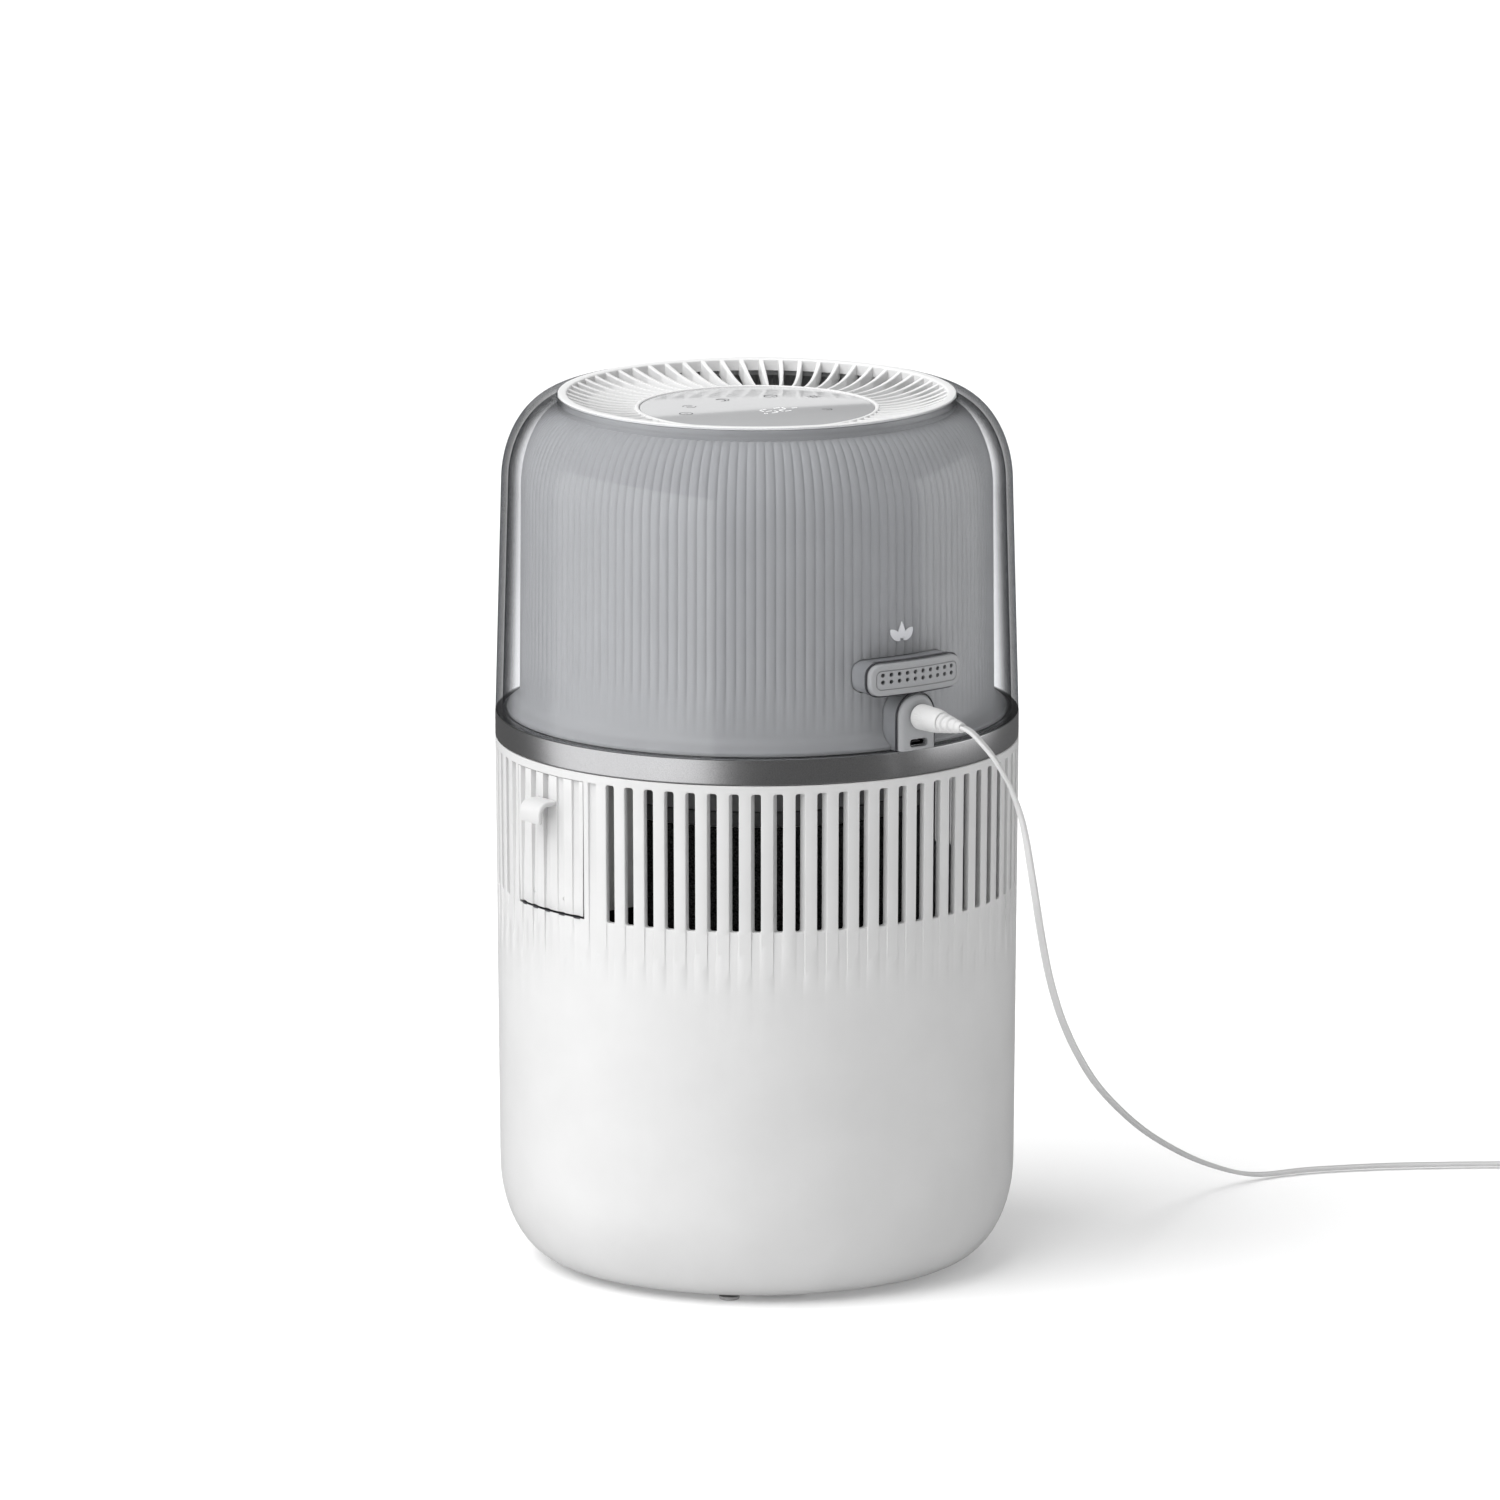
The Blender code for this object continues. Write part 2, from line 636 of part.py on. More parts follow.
def impeller():
    """Back plate with a hub, swept blades and a front ring."""
    blades = 15
    pitch = math.tau / blades
    angles = []
    for i in range(blades):
        angles += [pitch * i, pitch * (i + 0.20)]
    low, high = IMPELLER_Z
    blade_r = (0.0490, IMPELLER_R)
    bore_r = SHAFT_R + 0.00005
    outer = [(blade_r[1], low), (blade_r[1], low + 0.003), (blade_r[1], high - 0.0022), (blade_r[1], high),
             (0.0100, high), (0.0100, high + 0.0040), (bore_r, high + 0.0040)]
    inner = [(blade_r[0], low), (blade_r[0], low + 0.003), (blade_r[0], high - 0.0022),
             (blade_r[0] - 0.004, high - 0.0022), (0.0120, high - 0.0022), (0.0080, high - 0.0120),
             (bore_r, high - 0.0120)]

    def windows(row, column):
        return row == 1 and column % 2 == 1

    fan = ring_shell("impeller", white(), outer, inner, angles, windows, lean=math.radians(-18))
    shaft_top = DIFFUSER_Z[1] - 0.0070
    disc("motor_shaft", steel(), SHAFT_R - 0.0002, (high - 0.0160, shaft_top), 16)
    ring("impeller_nut", steel(), (SHAFT_R + 0.0004, 0.0055), (high - 0.0155, high - 0.0123), 6)
    return fan


def main_board():
    """Power board standing on the deck behind the jack."""
    return block("main_board", board(), (-0.0300, 0.0795, DECK_Z + 0.0034), (0.0300, 0.0965, DECK_Z + 0.0050))


# Jack, drawer and door --------------------------------------------------------------------------
def jack_panel():
    housing = slab("jack_housing", grey(), tombstone(JACK_BUMP_WIDTH / 2, RING_Z[1] + GAP), 0.1012, 0.1180)
    keep_common(housing, envelope(0.0500))
    cut(housing, place(disc("bore", None, 0.0034, (0.0, 0.03), 16), (0, 0.095, JACK_Z), "Y"))
    cut(housing, slab("usb_hole", None, rounded_outline(0.0094, 0.0036, 0.0017, USB_Z, 3), 0.095, 0.125))
    jack_low = (-0.0048, 0.0905, JACK_Z - 0.0050)
    jack = block("dc_jack", dark(), jack_low, (0.0048, 0.1008, JACK_Z + 0.0060), 0.0005)
    cut(jack, place(ring("jack_bore", None, (0.0008, 0.0031), (0.0, 0.012), 16), (0, 0.0930, JACK_Z), "Y"))
    socket = slab("usb_socket", steel(), rounded_outline(0.0088, 0.0031, 0.0015, USB_Z, 3), 0.0975, 0.1120)
    cut(socket, slab("usb_hollow", None, rounded_outline(0.0080, 0.0023, 0.0011, USB_Z, 3), 0.1000, 0.125))
    return housing


def envelope(inner_r):
    """Curved space that a rear face fills, from inner_r out to its own radius."""
    return ring("envelope", None, (inner_r, REAR_FACE_R), (0.20, 0.30), 144)


def tray_face():
    """Curved front with a pocket behind it and two rows of scent holes."""
    start, end = 0.0900, 0.1250
    face = slab("tray_face", grey(), rounded_outline(*DRAWER_SIZE, DRAWER_CORNER, DRAWER_Z), start, end)
    keep_common(face, envelope(0.1012))
    pocket = slab("pocket", None, rounded_outline(0.0440, 0.0100, 0.0012, DRAWER_Z), start, end)
    keep_common(pocket, ring("pocket_depth", None, (start, REAR_FACE_R - 0.0030), (0.25, 0.30), 144))
    cut(face, pocket)
    for row_z in (DRAWER_Z + 0.0030, DRAWER_Z + 0.0004):
        for i in range(HOLE_COLUMNS):
            angle = math.pi / 2 + (i - (HOLE_COLUMNS - 1) / 2) * HOLE_PITCH / REAR_FACE_R
            hole = disc("hole", None, 0.00085, (-0.006, 0.003), 6)
            turn = Matrix.Rotation(angle - math.pi / 2, 4, "Z") @ Matrix.Rotation(-math.pi / 2, 4, "X")
            hole.data.transform(Matrix.Translation(polar(REAR_FACE_R, angle, row_z)) @ turn)
            cut(face, hole)
    return face


def aroma_drawer():
    """Tray and pad behind the front, and the dock that they slide in."""
    low = DRAWER_Z - 0.0046
    tray = block("aroma_tray", white(), (-0.0215, 0.0745, low), (0.0215, 0.1072, low + 0.0080), 0.0004)
    cut(tray, block("hollow", None, (-0.0201, 0.0759, low + 0.0012), (0.0201, 0.1058, low + 0.0200)))
    block("aroma_pad", white(), (-0.0195, 0.0766, low + 0.0016), (0.0195, 0.1050, low + 0.0044), 0.0008)
    low = Vector((-0.0240, 0.0722, DRAWER_Z - 0.0066))
    high = Vector((0.0240, 0.0968, DRAWER_Z + 0.0066))
    wall = Vector((0.0018, 0.0015, 0.0016))
    inside_high = high - wall
    inside_high.y = high.y + 0.01
    dock = block("aroma_dock", grey(), low, high)
    cut(dock, block("hollow", None, low + wall, inside_high))
    return dock


def sensor_bay():
    """Open pocket behind the door with the dust sensor in it."""
    low = Vector((0.0785, -0.0215, 0.1675))
    high = Vector((0.1016, 0.0215, 0.2240))
    wall = Vector((0.0014, 0.0014, 0.0014))
    bay = block("sensor_bay", dark(), low, high)
    inside_high = high - wall
    inside_high.x = high.x + 0.01
    cut(bay, block("bay_hollow", None, low + wall, inside_high))
    for side in (-1, 1):
        near, far = sorted((side * LUG_Y[0], side * LUG_Y[1]))
        fuse(bay, block("post", None, (0.0990, near, 0.1680), (0.1014, far, HINGE.z + 0.0017)))
        fuse(bay, block("arm", None, (0.1000, near, HINGE.z - 0.0004), (HINGE.x, far, HINGE.z + 0.0017)))
        fuse(bay, place(disc("lug", None, 0.0017, (near, far), 16), (HINGE.x, 0, HINGE.z), "Y"))
    cut(bay, place(disc("pin_hole", None, HINGE_PIN_R + GAP, (-0.02, 0.02), 16), HINGE, "Y"))
    block("sensor_module", dark(), (0.0805, -0.0170, 0.1800), (0.0985, 0.0170, 0.2190), 0.0010)
    return bay


def sensor_door():
    """Curved panel with a hinge barrel along its lower edge, and a hooked finger pull."""
    margin = 0.0007 / BODY_R
    start = -DOOR_TURN / 2 + margin
    steps = 10
    step = (DOOR_TURN - 2 * margin) / steps
    verts = []
    for i in range(steps + 1):
        angle = start + step * i
        for height in DOOR_Z:
            radius = wall_radius(height)
            verts += [polar(radius, angle, height), polar(radius - DOOR_WALL, angle, height)]
    faces = [[0, 1, 3, 2], [4 * steps + k for k in (0, 1, 3, 2)]]
    for i in range(steps):
        low = 4 * i
        for first, second in ((0, 1), (1, 3), (3, 2), (2, 0)):
            faces.append([low + first, low + second, low + 4 + second, low + 4 + first])
    door = add("sensor_door", verts, faces, white())
    for side in (-1, 1):
        near, far = sorted((side * (LUG_Y[0] - 0.0005), side * (LUG_Y[1] + 0.0005)))
        cut(door, place(disc("lug_pocket", None, 0.0021, (near, far), 16), (HINGE.x, 0, HINGE.z), "Y"))
    fuse(door, place(disc("knuckle", None, HINGE_KNUCKLE_R, (-HINGE_HALF, HINGE_HALF), 16), HINGE, "Y"))
    cut(door, place(disc("pin_bore", None, HINGE_PIN_R + GAP, (-0.02, 0.02), 16), HINGE, "Y"))
    place(disc("door_hinge_pin", steel(), HINGE_PIN_R, (-0.0126, 0.0126), 16), HINGE, "Y")
    door_pull()
    return door


def door_pull():
    """Hook that reaches out and down, open underneath for a finger."""
    width, height = PULL_SIZE
    root_r = BODY_R + GAP
    top_z = PULL_Z + height / 2
    bend = 0.0052
    lip = 0.0022
    steps = 5

    def bend_point(radius, angle):
        return (PULL_REACH - bend + radius * math.cos(angle), top_z - bend + radius * math.sin(angle))

    outline = [(root_r, top_z)]
    outline += [bend_point(bend, math.pi / 2 * (1 - i / steps)) for i in range(steps + 1)]
    outline += [(PULL_REACH, top_z - height), (PULL_REACH - lip, top_z - height)]
    outline += [bend_point(bend - lip, math.pi / 2 * i / steps) for i in range(steps + 1)]
    outline.append((root_r, top_z - lip))
    return slab("door_pull", white(), outline, -width / 2, width / 2)


# Power lead -------------------------------------------------------------------------------------
def smooth_route(points, count):
    """Evenly spaced points on a smooth curve through the route's own points."""
    route = [Vector(point) for point in points]
    route = [route[0] * 2 - route[1]] + route + [route[-1] * 2 - route[-2]]
    fine = []
    for p0, p1, p2, p3 in zip(route, route[1:], route[2:], route[3:]):
        for i in range(24):
            t = i / 24
            fine.append(0.5 * (2 * p1 + (p2 - p0) * t + (2 * p0 - 5 * p1 + 4 * p2 - p3) * t * t
                               + (3 * p1 - p0 - 3 * p2 + p3) * t * t * t))
    fine.append(route[-2])
    lengths = [0.0]
    for a, b in zip(fine, fine[1:]):
        lengths.append(lengths[-1] + (b - a).length)
    even = []
    place_at = 0
    for i in range(count):
        wanted = lengths[-1] * i / (count - 1)
        while place_at < len(fine) - 2 and lengths[place_at + 1] < wanted:
            place_at += 1
        span = max(lengths[place_at + 1] - lengths[place_at], 1e-9)
        point = fine[place_at].lerp(fine[place_at + 1], (wanted - lengths[place_at]) / span)
        point.z = max(point.z, LEAD_R + LEAD_FLOOR)
        even.append(point)
    return even


def power_lead():
    points = smooth_route(LEAD_ROUTE, LEAD_POINTS)
    points.insert(1, points[0] + Vector((0, LEAD_R, 0)))   # leaves the relief squarely
    curve = bpy.data.curves.new("power_lead", "CURVE")
    curve.dimensions = "3D"
    spline = curve.splines.new("POLY")
    spline.points.add(len(points) - 1)
    for point, place_at in zip(spline.points, points):
        point.co = (*place_at, 1.0)
    curve.bevel_depth = LEAD_R
    curve.bevel_resolution = 2
    curve.use_fill_caps = True
    curve.materials.append(white())
    lead = bpy.data.objects.new("power_lead", curve)
    bpy.context.collection.objects.link(lead)
    return lead


def plug():
    face_y = REAR_FACE_R + GAP
    shell = [(0, 0.0), (0.0050, 0.0), (0.0055, 0.0008), (0.0055, 0.0115), (0.0047, 0.0160), (0, 0.0160)]
    place(turned("dc_plug", white(), shell, 16), (0, face_y, JACK_Z), "Y")
    relief_y = face_y + 0.0160 + GAP
    relief = [(0, 0.0), (0.0042, 0.0), (0.0040, 0.0024), (0.0032, 0.0030), (0.0036, 0.0040),
              (0.0034, 0.0062), (0.0027, 0.0068), (0.0030, 0.0078), (0.0028, 0.0100), (0.0023, 0.0132),
              (0, 0.0132)]
    place(turned("plug_relief", white(), relief, 12), (0, relief_y, JACK_Z - 0.0002), "Y")
    contact = ring("plug_contact", steel(), (0.0012, 0.0027), (0.0, CONTACT_LENGTH), 12)
    place(contact, (0, face_y - GAP - CONTACT_LENGTH, JACK_Z), "Y")


def lead_coil():
    """The wound length of the lead, with the tie round it."""
    low, high = COIL_Z
    edge = 0.0020
    inner_r, outer_r = COIL_R
    profile = [(inner_r, low + edge), (inner_r + edge, low), (outer_r - edge, low),
               (outer_r, low + edge), (outer_r, high - edge), (outer_r - edge, high),
               (inner_r + edge, high), (inner_r, high - edge)]
    coil = turned("lead_coil", white(), profile, 24, COIL_CENTRE, closed=True)
    strap = 0.0008
    tie = sector("coil_tie", dark(), (inner_r - GAP - strap, outer_r + GAP + strap),
                 (low - GAP - strap, high + GAP + strap), TIE_TURN, 16, 3)
    hollow_z = (low - GAP, high + GAP)
    cut(tie, sector("tie_hollow", None, (inner_r - GAP, outer_r + GAP), hollow_z, TIE_TURN, 24, 3))
    tie.data.transform(Matrix.Translation(COIL_CENTRE))
    return coil


def adapter():
    """Wall plug at the far end of the lead, lying beside the coil."""
    length, width, height = ADAPTER_SIZE
    relief_length = 0.0120
    body_start = relief_length + GAP
    body_end = body_start + length
    low = GAP - ADAPTER_START.z
    far_corner = (body_end, width / 2, low + height)
    body = block("adapter_body", white(), (body_start, -width / 2, low), far_corner, 0.0020, 2)
    relief = [(0, 0.0), (0.0024, 0.0), (0.0036, relief_length), (0, relief_length)]
    pieces = [body, place(turned("adapter_relief", white(), relief, 16), (0, 0, 0), "X")]
    pin_z = low + height / 2
    for name, side in (("adapter_pin_left", -1), ("adapter_pin_right", 1)):
        middle = side * 0.00635
        pieces.append(block(name, steel(), (body_end + GAP, middle - 0.00075, pin_z - 0.0032),
                            (body_end + 0.0163, middle + 0.00075, pin_z + 0.0032), 0.0003))
    turn = Matrix.Rotation(math.atan2(FAR_DIRECTION.y, FAR_DIRECTION.x), 4, "Z")
    for piece in pieces:
        piece.data.transform(Matrix.Translation(ADAPTER_START) @ turn)
    return body


def build():
    for old in list(bpy.data.objects):
        bpy.data.objects.remove(old)
    base_housing()
    foot_pads()
    filter_cover()
    filter_cartridge()
    trim_ring()
    clear_dome()
    inner_barrel()
    outlet_grille()
    control_head()
    diffuser()
    motor()
    fan_deck()
    impeller()
    main_board()
    jack_panel()
    tray_face()
    aroma_drawer()
    sensor_bay()
    sensor_door()
    plug()
    power_lead()
    lead_coil()
    adapter()


build()
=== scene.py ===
"""Looks of the round tower air purifier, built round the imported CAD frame. Metres, +Z up, the aroma
drawer and the lead at +Y, the sensor door at +X."""
import math

import bmesh
import bpy
from mathutils import Matrix, Vector, noise

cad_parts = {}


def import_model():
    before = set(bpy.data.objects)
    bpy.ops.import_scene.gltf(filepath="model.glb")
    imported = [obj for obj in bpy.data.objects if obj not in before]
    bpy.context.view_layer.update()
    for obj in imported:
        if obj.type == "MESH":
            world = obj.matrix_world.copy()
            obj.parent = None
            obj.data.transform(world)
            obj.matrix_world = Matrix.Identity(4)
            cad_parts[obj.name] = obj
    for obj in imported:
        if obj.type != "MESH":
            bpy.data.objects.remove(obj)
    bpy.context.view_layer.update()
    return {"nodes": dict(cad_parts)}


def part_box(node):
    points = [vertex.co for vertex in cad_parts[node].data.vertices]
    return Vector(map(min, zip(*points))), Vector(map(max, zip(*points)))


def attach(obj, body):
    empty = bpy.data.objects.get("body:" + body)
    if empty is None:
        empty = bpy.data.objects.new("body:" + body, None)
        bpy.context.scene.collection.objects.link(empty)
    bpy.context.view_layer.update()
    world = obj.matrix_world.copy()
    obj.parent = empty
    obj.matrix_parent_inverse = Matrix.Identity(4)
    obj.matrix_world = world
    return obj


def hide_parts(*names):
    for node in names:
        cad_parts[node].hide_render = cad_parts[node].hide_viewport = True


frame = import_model()

# Sizes from the frame ---------------------------------------------------------------------------
RING_Z = (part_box("trim_ring")[0].z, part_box("trim_ring")[1].z)
BODY_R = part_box("trim_ring")[1].x
TOP_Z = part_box("outlet_grille")[1].z
UNDERSIDE_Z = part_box("base_housing")[0].z
DISC_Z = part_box("control_disc")[1].z
HUB_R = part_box("control_disc")[1].x
GAP = 0.0003

# Sizes of the finer surfaces --------------------------------------------------------------------
DRAFT = math.tan(math.radians(0.5))
CORNER = (0.0263, 0.0421)         # width and height of the bottom corner's quarter ellipse
OPENING_R = 0.0775
NOTCH_R = 0.0837
FLOOR = 0.0057                    # thickness of the housing's floor
SLOT_COUNT = 75
PITCH = math.tau / SLOT_COUNT
SLOT_Z = (0.1659, 0.2258)
SLOT_MARGIN = 0.0014              # of skin above and below a slot, built together with it
SLOT_ZONE = [SLOT_Z[0] - SLOT_MARGIN, SLOT_Z[0], 0.1960, SLOT_Z[1] - 0.00025, SLOT_Z[1],
             SLOT_Z[1] + SLOT_MARGIN]
SLOT_HALF = 0.00205
SLOT_CORNER = 0.0010
SLOT_WALL = 0.0031
GROOVE_LOW_Z = 0.1380             # where the grooves run out
GROOVE_SLOPE = 0.018              # depth gained for each metre of height
GROOVE_EDGE = 0.00016             # half the width of the step at a groove's sides
TINY = 1e-6                       # distance that counts as none
DOOR_HALF = 2.5 * PITCH
DOOR_Z = (0.1669, 0.2255)
DOME_CENTRE_R = 0.0825
DOME_SHOULDER_Z = 0.3400
DOME_R = (0.1124, 0.1097)         # at the foot and at the shoulder
DOME_WALL = 0.0030
BARREL_OUTER_R = (0.1019, 0.1012)
BARREL_INNER_R = (0.0994, 0.0990)
BARREL_SHOULDER_Z = 0.3370
BARREL_TOP_Z = 0.3740
FLUTES = 150
FLUTE_DEPTH = 0.0006
RIM_R = (0.0813, 0.0853)
VANES = 60
VANE_R = 0.0524                   # where the vanes leave the hub ring
VANE_DEPTH = 0.0070
VANE_SWIRL = math.radians(3.7)
REAR_R = 0.1142                   # drawer face and jack face
BARREL_FACE_R = 0.0998            # where the drawer's and the jack's pieces start inside the barrel
OPENING_MARGIN = 0.0004           # round the drawer and the jack in the dome and the barrel
JACK_HALF = 0.0095                # half the jack housing's width
# radii of the dark bands painted as shade in the gaps round the drawer and the jack
GAP_SHADE_R = (0.1112, 0.1121)
DRAWER_Z = 0.2727
DRAWER_SIZE = (0.0480, 0.0136)
JACK_Z = 0.2554
USB_Z = 0.2440
HINGE = Vector((0.1090, 0.0, 0.1729))
REAR_ANGLE = math.pi / 2
SECTOR = math.pi / 3              # the slots of each sixth are drawn in one direction

LEAD_WIDTH = 0.0034
LEAD_THICKNESS = 0.0021
LEAD_EXIT = Vector((0.0, 0.1440, 0.2552))
LEAD_ROUTE = [
    (0.0000, 0.1444, 0.2552), (0.0000, 0.1472, 0.2550), (-0.0008, 0.1505, 0.2535),
    (-0.0024, 0.1550, 0.2496),
    (-0.0047, 0.1590, 0.2446), (-0.0073, 0.1616, 0.2385), (-0.0110, 0.1638, 0.2300),
    (-0.0163, 0.1651, 0.2145), (-0.0229, 0.1637, 0.1880), (-0.0313, 0.1588, 0.1633),
    (-0.0415, 0.1515, 0.1427), (-0.0567, 0.1404, 0.1214), (-0.0785, 0.1242, 0.0996),
    (-0.1070, 0.1032, 0.0772), (-0.1483, 0.0742, 0.0514), (-0.1861, 0.0501, 0.0313),
    (-0.2226, 0.0325, 0.0144), (-0.2557, 0.0245, 0.0032), (-0.2853, 0.0285, 0.0020),
    (-0.3135, 0.0409, 0.0020), (-0.3393, 0.0566, 0.0020), (-0.3638, 0.0738, 0.0020),
    (-0.3816, 0.0872, 0.0020),
]
COIL_CENTRE = Vector((-0.4099, 0.0742, 0.0))
COIL_R = (0.0158, 0.0272)         # innermost and outermost turn
COIL_LAYER_Z = (0.0030, 0.0066)
ADAPTER_START = Vector((-0.4061, 0.1057, 0.0050))

RIGHT = Vector((-0.7986, 0.6018, 0.0))  # across the picture
NEAR = Vector((0.6018, 0.7986, 0.0))    # level, towards the camera
TO_Y = Matrix.Rotation(-math.pi / 2, 4, "X")    # turns something lathed about +Z to run along +Y


# Camera -----------------------------------------------------------------------------------------
def camera():
    distance = 6.45
    rise = math.radians(11.6)
    target = Vector((0.0024, -0.0018, 0.2221))
    back = NEAR * math.cos(rise) + Vector((0, 0, math.sin(rise)))
    data = bpy.data.cameras.new("camera")
    data.sensor_width = 36.0
    data.lens = 360.0
    data.clip_end = 60.0
    eye = bpy.data.objects.new("camera", data)
    eye.location = target + back * distance
    eye.rotation_mode = "QUATERNION"
    eye.rotation_quaternion = (-back).to_track_quat("-Z", "Y")
    bpy.context.scene.collection.objects.link(eye)
    bpy.context.scene.camera = eye


# Mesh helpers -----------------------------------------------------------------------------------
def polar(radius, angle, height=0.0):
    return Vector((radius * math.cos(angle), radius * math.sin(angle), height))


def piece(name, verts, faces, look, body, stands_for=(), slot=None, sharp=35, merge=0.0):
    """A mesh object that rides on a body and stands for CAD nodes."""
    mesh = bpy.data.meshes.new(name)
    mesh.from_pydata([tuple(v) for v in verts], [], faces)
    work = bmesh.new()
    work.from_mesh(mesh)
    if merge:
        bmesh.ops.remove_doubles(work, verts=work.verts, dist=merge)
    loose = [vert for vert in work.verts if not vert.link_faces]
    bmesh.ops.delete(work, geom=loose, context="VERTS")
    bmesh.ops.recalc_face_normals(work, faces=work.faces)
    work.to_mesh(mesh)
    work.free()
    made = bpy.data.objects.new(name, mesh)
    bpy.context.scene.collection.objects.link(made)
    mesh.materials.append(look)
    smooth(made, sharp)
    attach(made, body)
    if stands_for:
        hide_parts(*stands_for)
    return made


def smooth(made, sharp=35):
    made.data.shade_smooth()
    made.data.set_sharp_from_angle(angle=math.radians(sharp))


def joined(*parts):
    """Several (verts, faces) as one."""
    verts = []
    faces = []
    for part_verts, part_faces in parts:
        start = len(verts)
        verts += part_verts
        faces += [[start + i for i in face] for face in part_faces]
    return verts, faces


def moved(part, matrix):
    verts, faces = part
    return [matrix @ Vector(v) for v in verts], faces


def fillet(points, steps=4, closed=False):
    """An outline of (x, y, rounding) points with its corners rounded."""
    out = []
    for i, (x, y, rounding) in enumerate(points):
        here = Vector((x, y))
        if rounding <= 0 or not (closed or 0 < i < len(points) - 1):
            out.append((x, y))
            continue
        before = Vector(points[i - 1][:2]) - here
        after = Vector(points[(i + 1) % len(points)][:2]) - here
        reach = min(rounding, 0.49 * before.length, 0.49 * after.length)
        first = here + before.normalized() * reach
        last = here + after.normalized() * reach
        for k in range(steps + 1):
            t = k / steps
            spot = first * (1 - t) ** 2 + here * (2 * t * (1 - t)) + last * t * t
            out.append((spot.x, spot.y))
    return out


def lathe(profile, steps=160, closed=False, shape=None):
    """(radius, height) points turned about +Z. shape(radius, height, angle) may change a radius."""
    verts = []
    rings = []
    for radius, height in profile:
        if radius < 1e-7:
            rings.append([len(verts)] * steps)
            verts.append(Vector((0, 0, height)))
            continue
        rings.append(list(range(len(verts), len(verts) + steps)))
        for i in range(steps):
            angle = math.tau * i / steps
            verts.append(polar(shape(radius, height, angle) if shape else radius, angle, height))
    pairs = list(zip(rings, rings[1:]))
    if closed:
        pairs.append((rings[-1], rings[0]))
    faces = []
    for low, high in pairs:
        for i in range(steps):
            j = (i + 1) % steps
            faces.append(list(dict.fromkeys([low[i], low[j], high[j], high[i]])))
    return verts, faces


def loops(rings, filled=True):
    """Closed loops of equal count joined in order, with a face over the first and the last if filled."""
    count = len(rings[0])
    verts = [v for ring in rings for v in ring]
    faces = []
    for k in range(len(rings) - 1):
        for i in range(count):
            j = (i + 1) % count
            faces.append([k * count + i, k * count + j, (k + 1) * count + j, (k + 1) * count + i])
    if filled:
        faces.append(list(range(count)))
        faces.append([(len(rings) - 1) * count + i for i in range(count)])
    return verts, faces


def boxed(low, high, bevel, segments=3):
    """A box with rounded edges, as (verts, faces)."""
    low = Vector(low)
    high = Vector(high)
    work = bmesh.new()
    frame_in = Matrix.Translation((low + high) / 2) @ Matrix.Diagonal(high - low).to_4x4()
    bmesh.ops.create_cube(work, size=1.0, matrix=frame_in)
    bmesh.ops.bevel(work, geom=work.edges[:], offset=bevel, segments=segments, affect="EDGES", profile=0.5)
    work.verts.index_update()
    verts = [v.co.copy() for v in work.verts]
    faces = [[v.index for v in face.verts] for face in work.faces]
    work.free()
    return verts, faces


def cut(target, part):
    """Take a closed (verts, faces) away from an object's mesh."""
    mesh = bpy.data.meshes.new("cutter")
    mesh.from_pydata([tuple(v) for v in part[0]], [], part[1])
    work = bmesh.new()
    work.from_mesh(mesh)
    bmesh.ops.recalc_face_normals(work, faces=work.faces)
    work.to_mesh(mesh)
    work.free()
    tool = bpy.data.objects.new("cutter", mesh)
    bpy.context.scene.collection.objects.link(tool)
    step = target.modifiers.new("cut", "BOOLEAN")
    step.object = tool
    step.operation = "DIFFERENCE"
    step.solver = "EXACT"
    view = bpy.context.evaluated_depsgraph_get()
    shaped = bpy.data.meshes.new_from_object(target.evaluated_get(view))
    target.modifiers.remove(step)
    target.data = shaped
    bpy.data.objects.remove(tool)
    smooth(target)


# Material helpers -------------------------------------------------------------------------------
def new_look(name, colour, roughness, metallic=0.0, **sockets):
    made = bpy.data.materials.new(name)
    made.use_nodes = True
    shader = made.node_tree.nodes["Principled BSDF"]
    shader.inputs["Base Color"].default_value = (*colour, 1.0)
    shader.inputs["Roughness"].default_value = roughness
    shader.inputs["Metallic"].default_value = metallic
    for socket, value in sockets.items():
        shader.inputs[socket.replace("_", " ")].default_value = value
    return made, made.node_tree, shader


def texture(tree, kind, scale, stretch=(1, 1, 1), **settings):
    """A texture in object space, in metres; gives its first output."""
    coords = tree.nodes.new("ShaderNodeTexCoord")
    size = tree.nodes.new("ShaderNodeMapping")
    size.inputs["Scale"].default_value = stretch
    made = tree.nodes.new(kind)
    made.inputs["Scale"].default_value = scale
    for socket, value in settings.items():
        made.inputs[socket].default_value = value
    tree.links.new(coords.outputs["Object"], size.inputs["Vector"])
    tree.links.new(size.outputs["Vector"], made.inputs["Vector"])
    return made.outputs["Fac"] if "Fac" in made.outputs else made.outputs["Distance"]


def spread(tree, factor, low, high, socket):
    """Drive a number socket between two values."""
    step = tree.nodes.new("ShaderNodeMapRange")
    step.inputs["To Min"].default_value = low
    step.inputs["To Max"].default_value = high
    tree.links.new(factor, step.inputs["Value"])
    tree.links.new(step.outputs["Result"], socket)


def tint(tree, factor, low, high, socket):
    """Drive a colour socket between two colours."""
    ramp = tree.nodes.new("ShaderNodeValToRGB")
    ramp.color_ramp.elements[0].position = 0.3
    ramp.color_ramp.elements[1].position = 0.7
    ramp.color_ramp.elements[0].color = (*low, 1)
    ramp.color_ramp.elements[1].color = (*high, 1)
    tree.links.new(factor, ramp.inputs["Fac"])
    tree.links.new(ramp.outputs["Color"], socket)


def relief(tree, shader, height, distance, strength=1.0):
    bump = tree.nodes.new("ShaderNodeBump")
    bump.inputs["Distance"].default_value = distance
    bump.inputs["Strength"].default_value = strength
    tree.links.new(height, bump.inputs["Height"])
    tree.links.new(bump.outputs["Normal"], shader.inputs["Normal"])


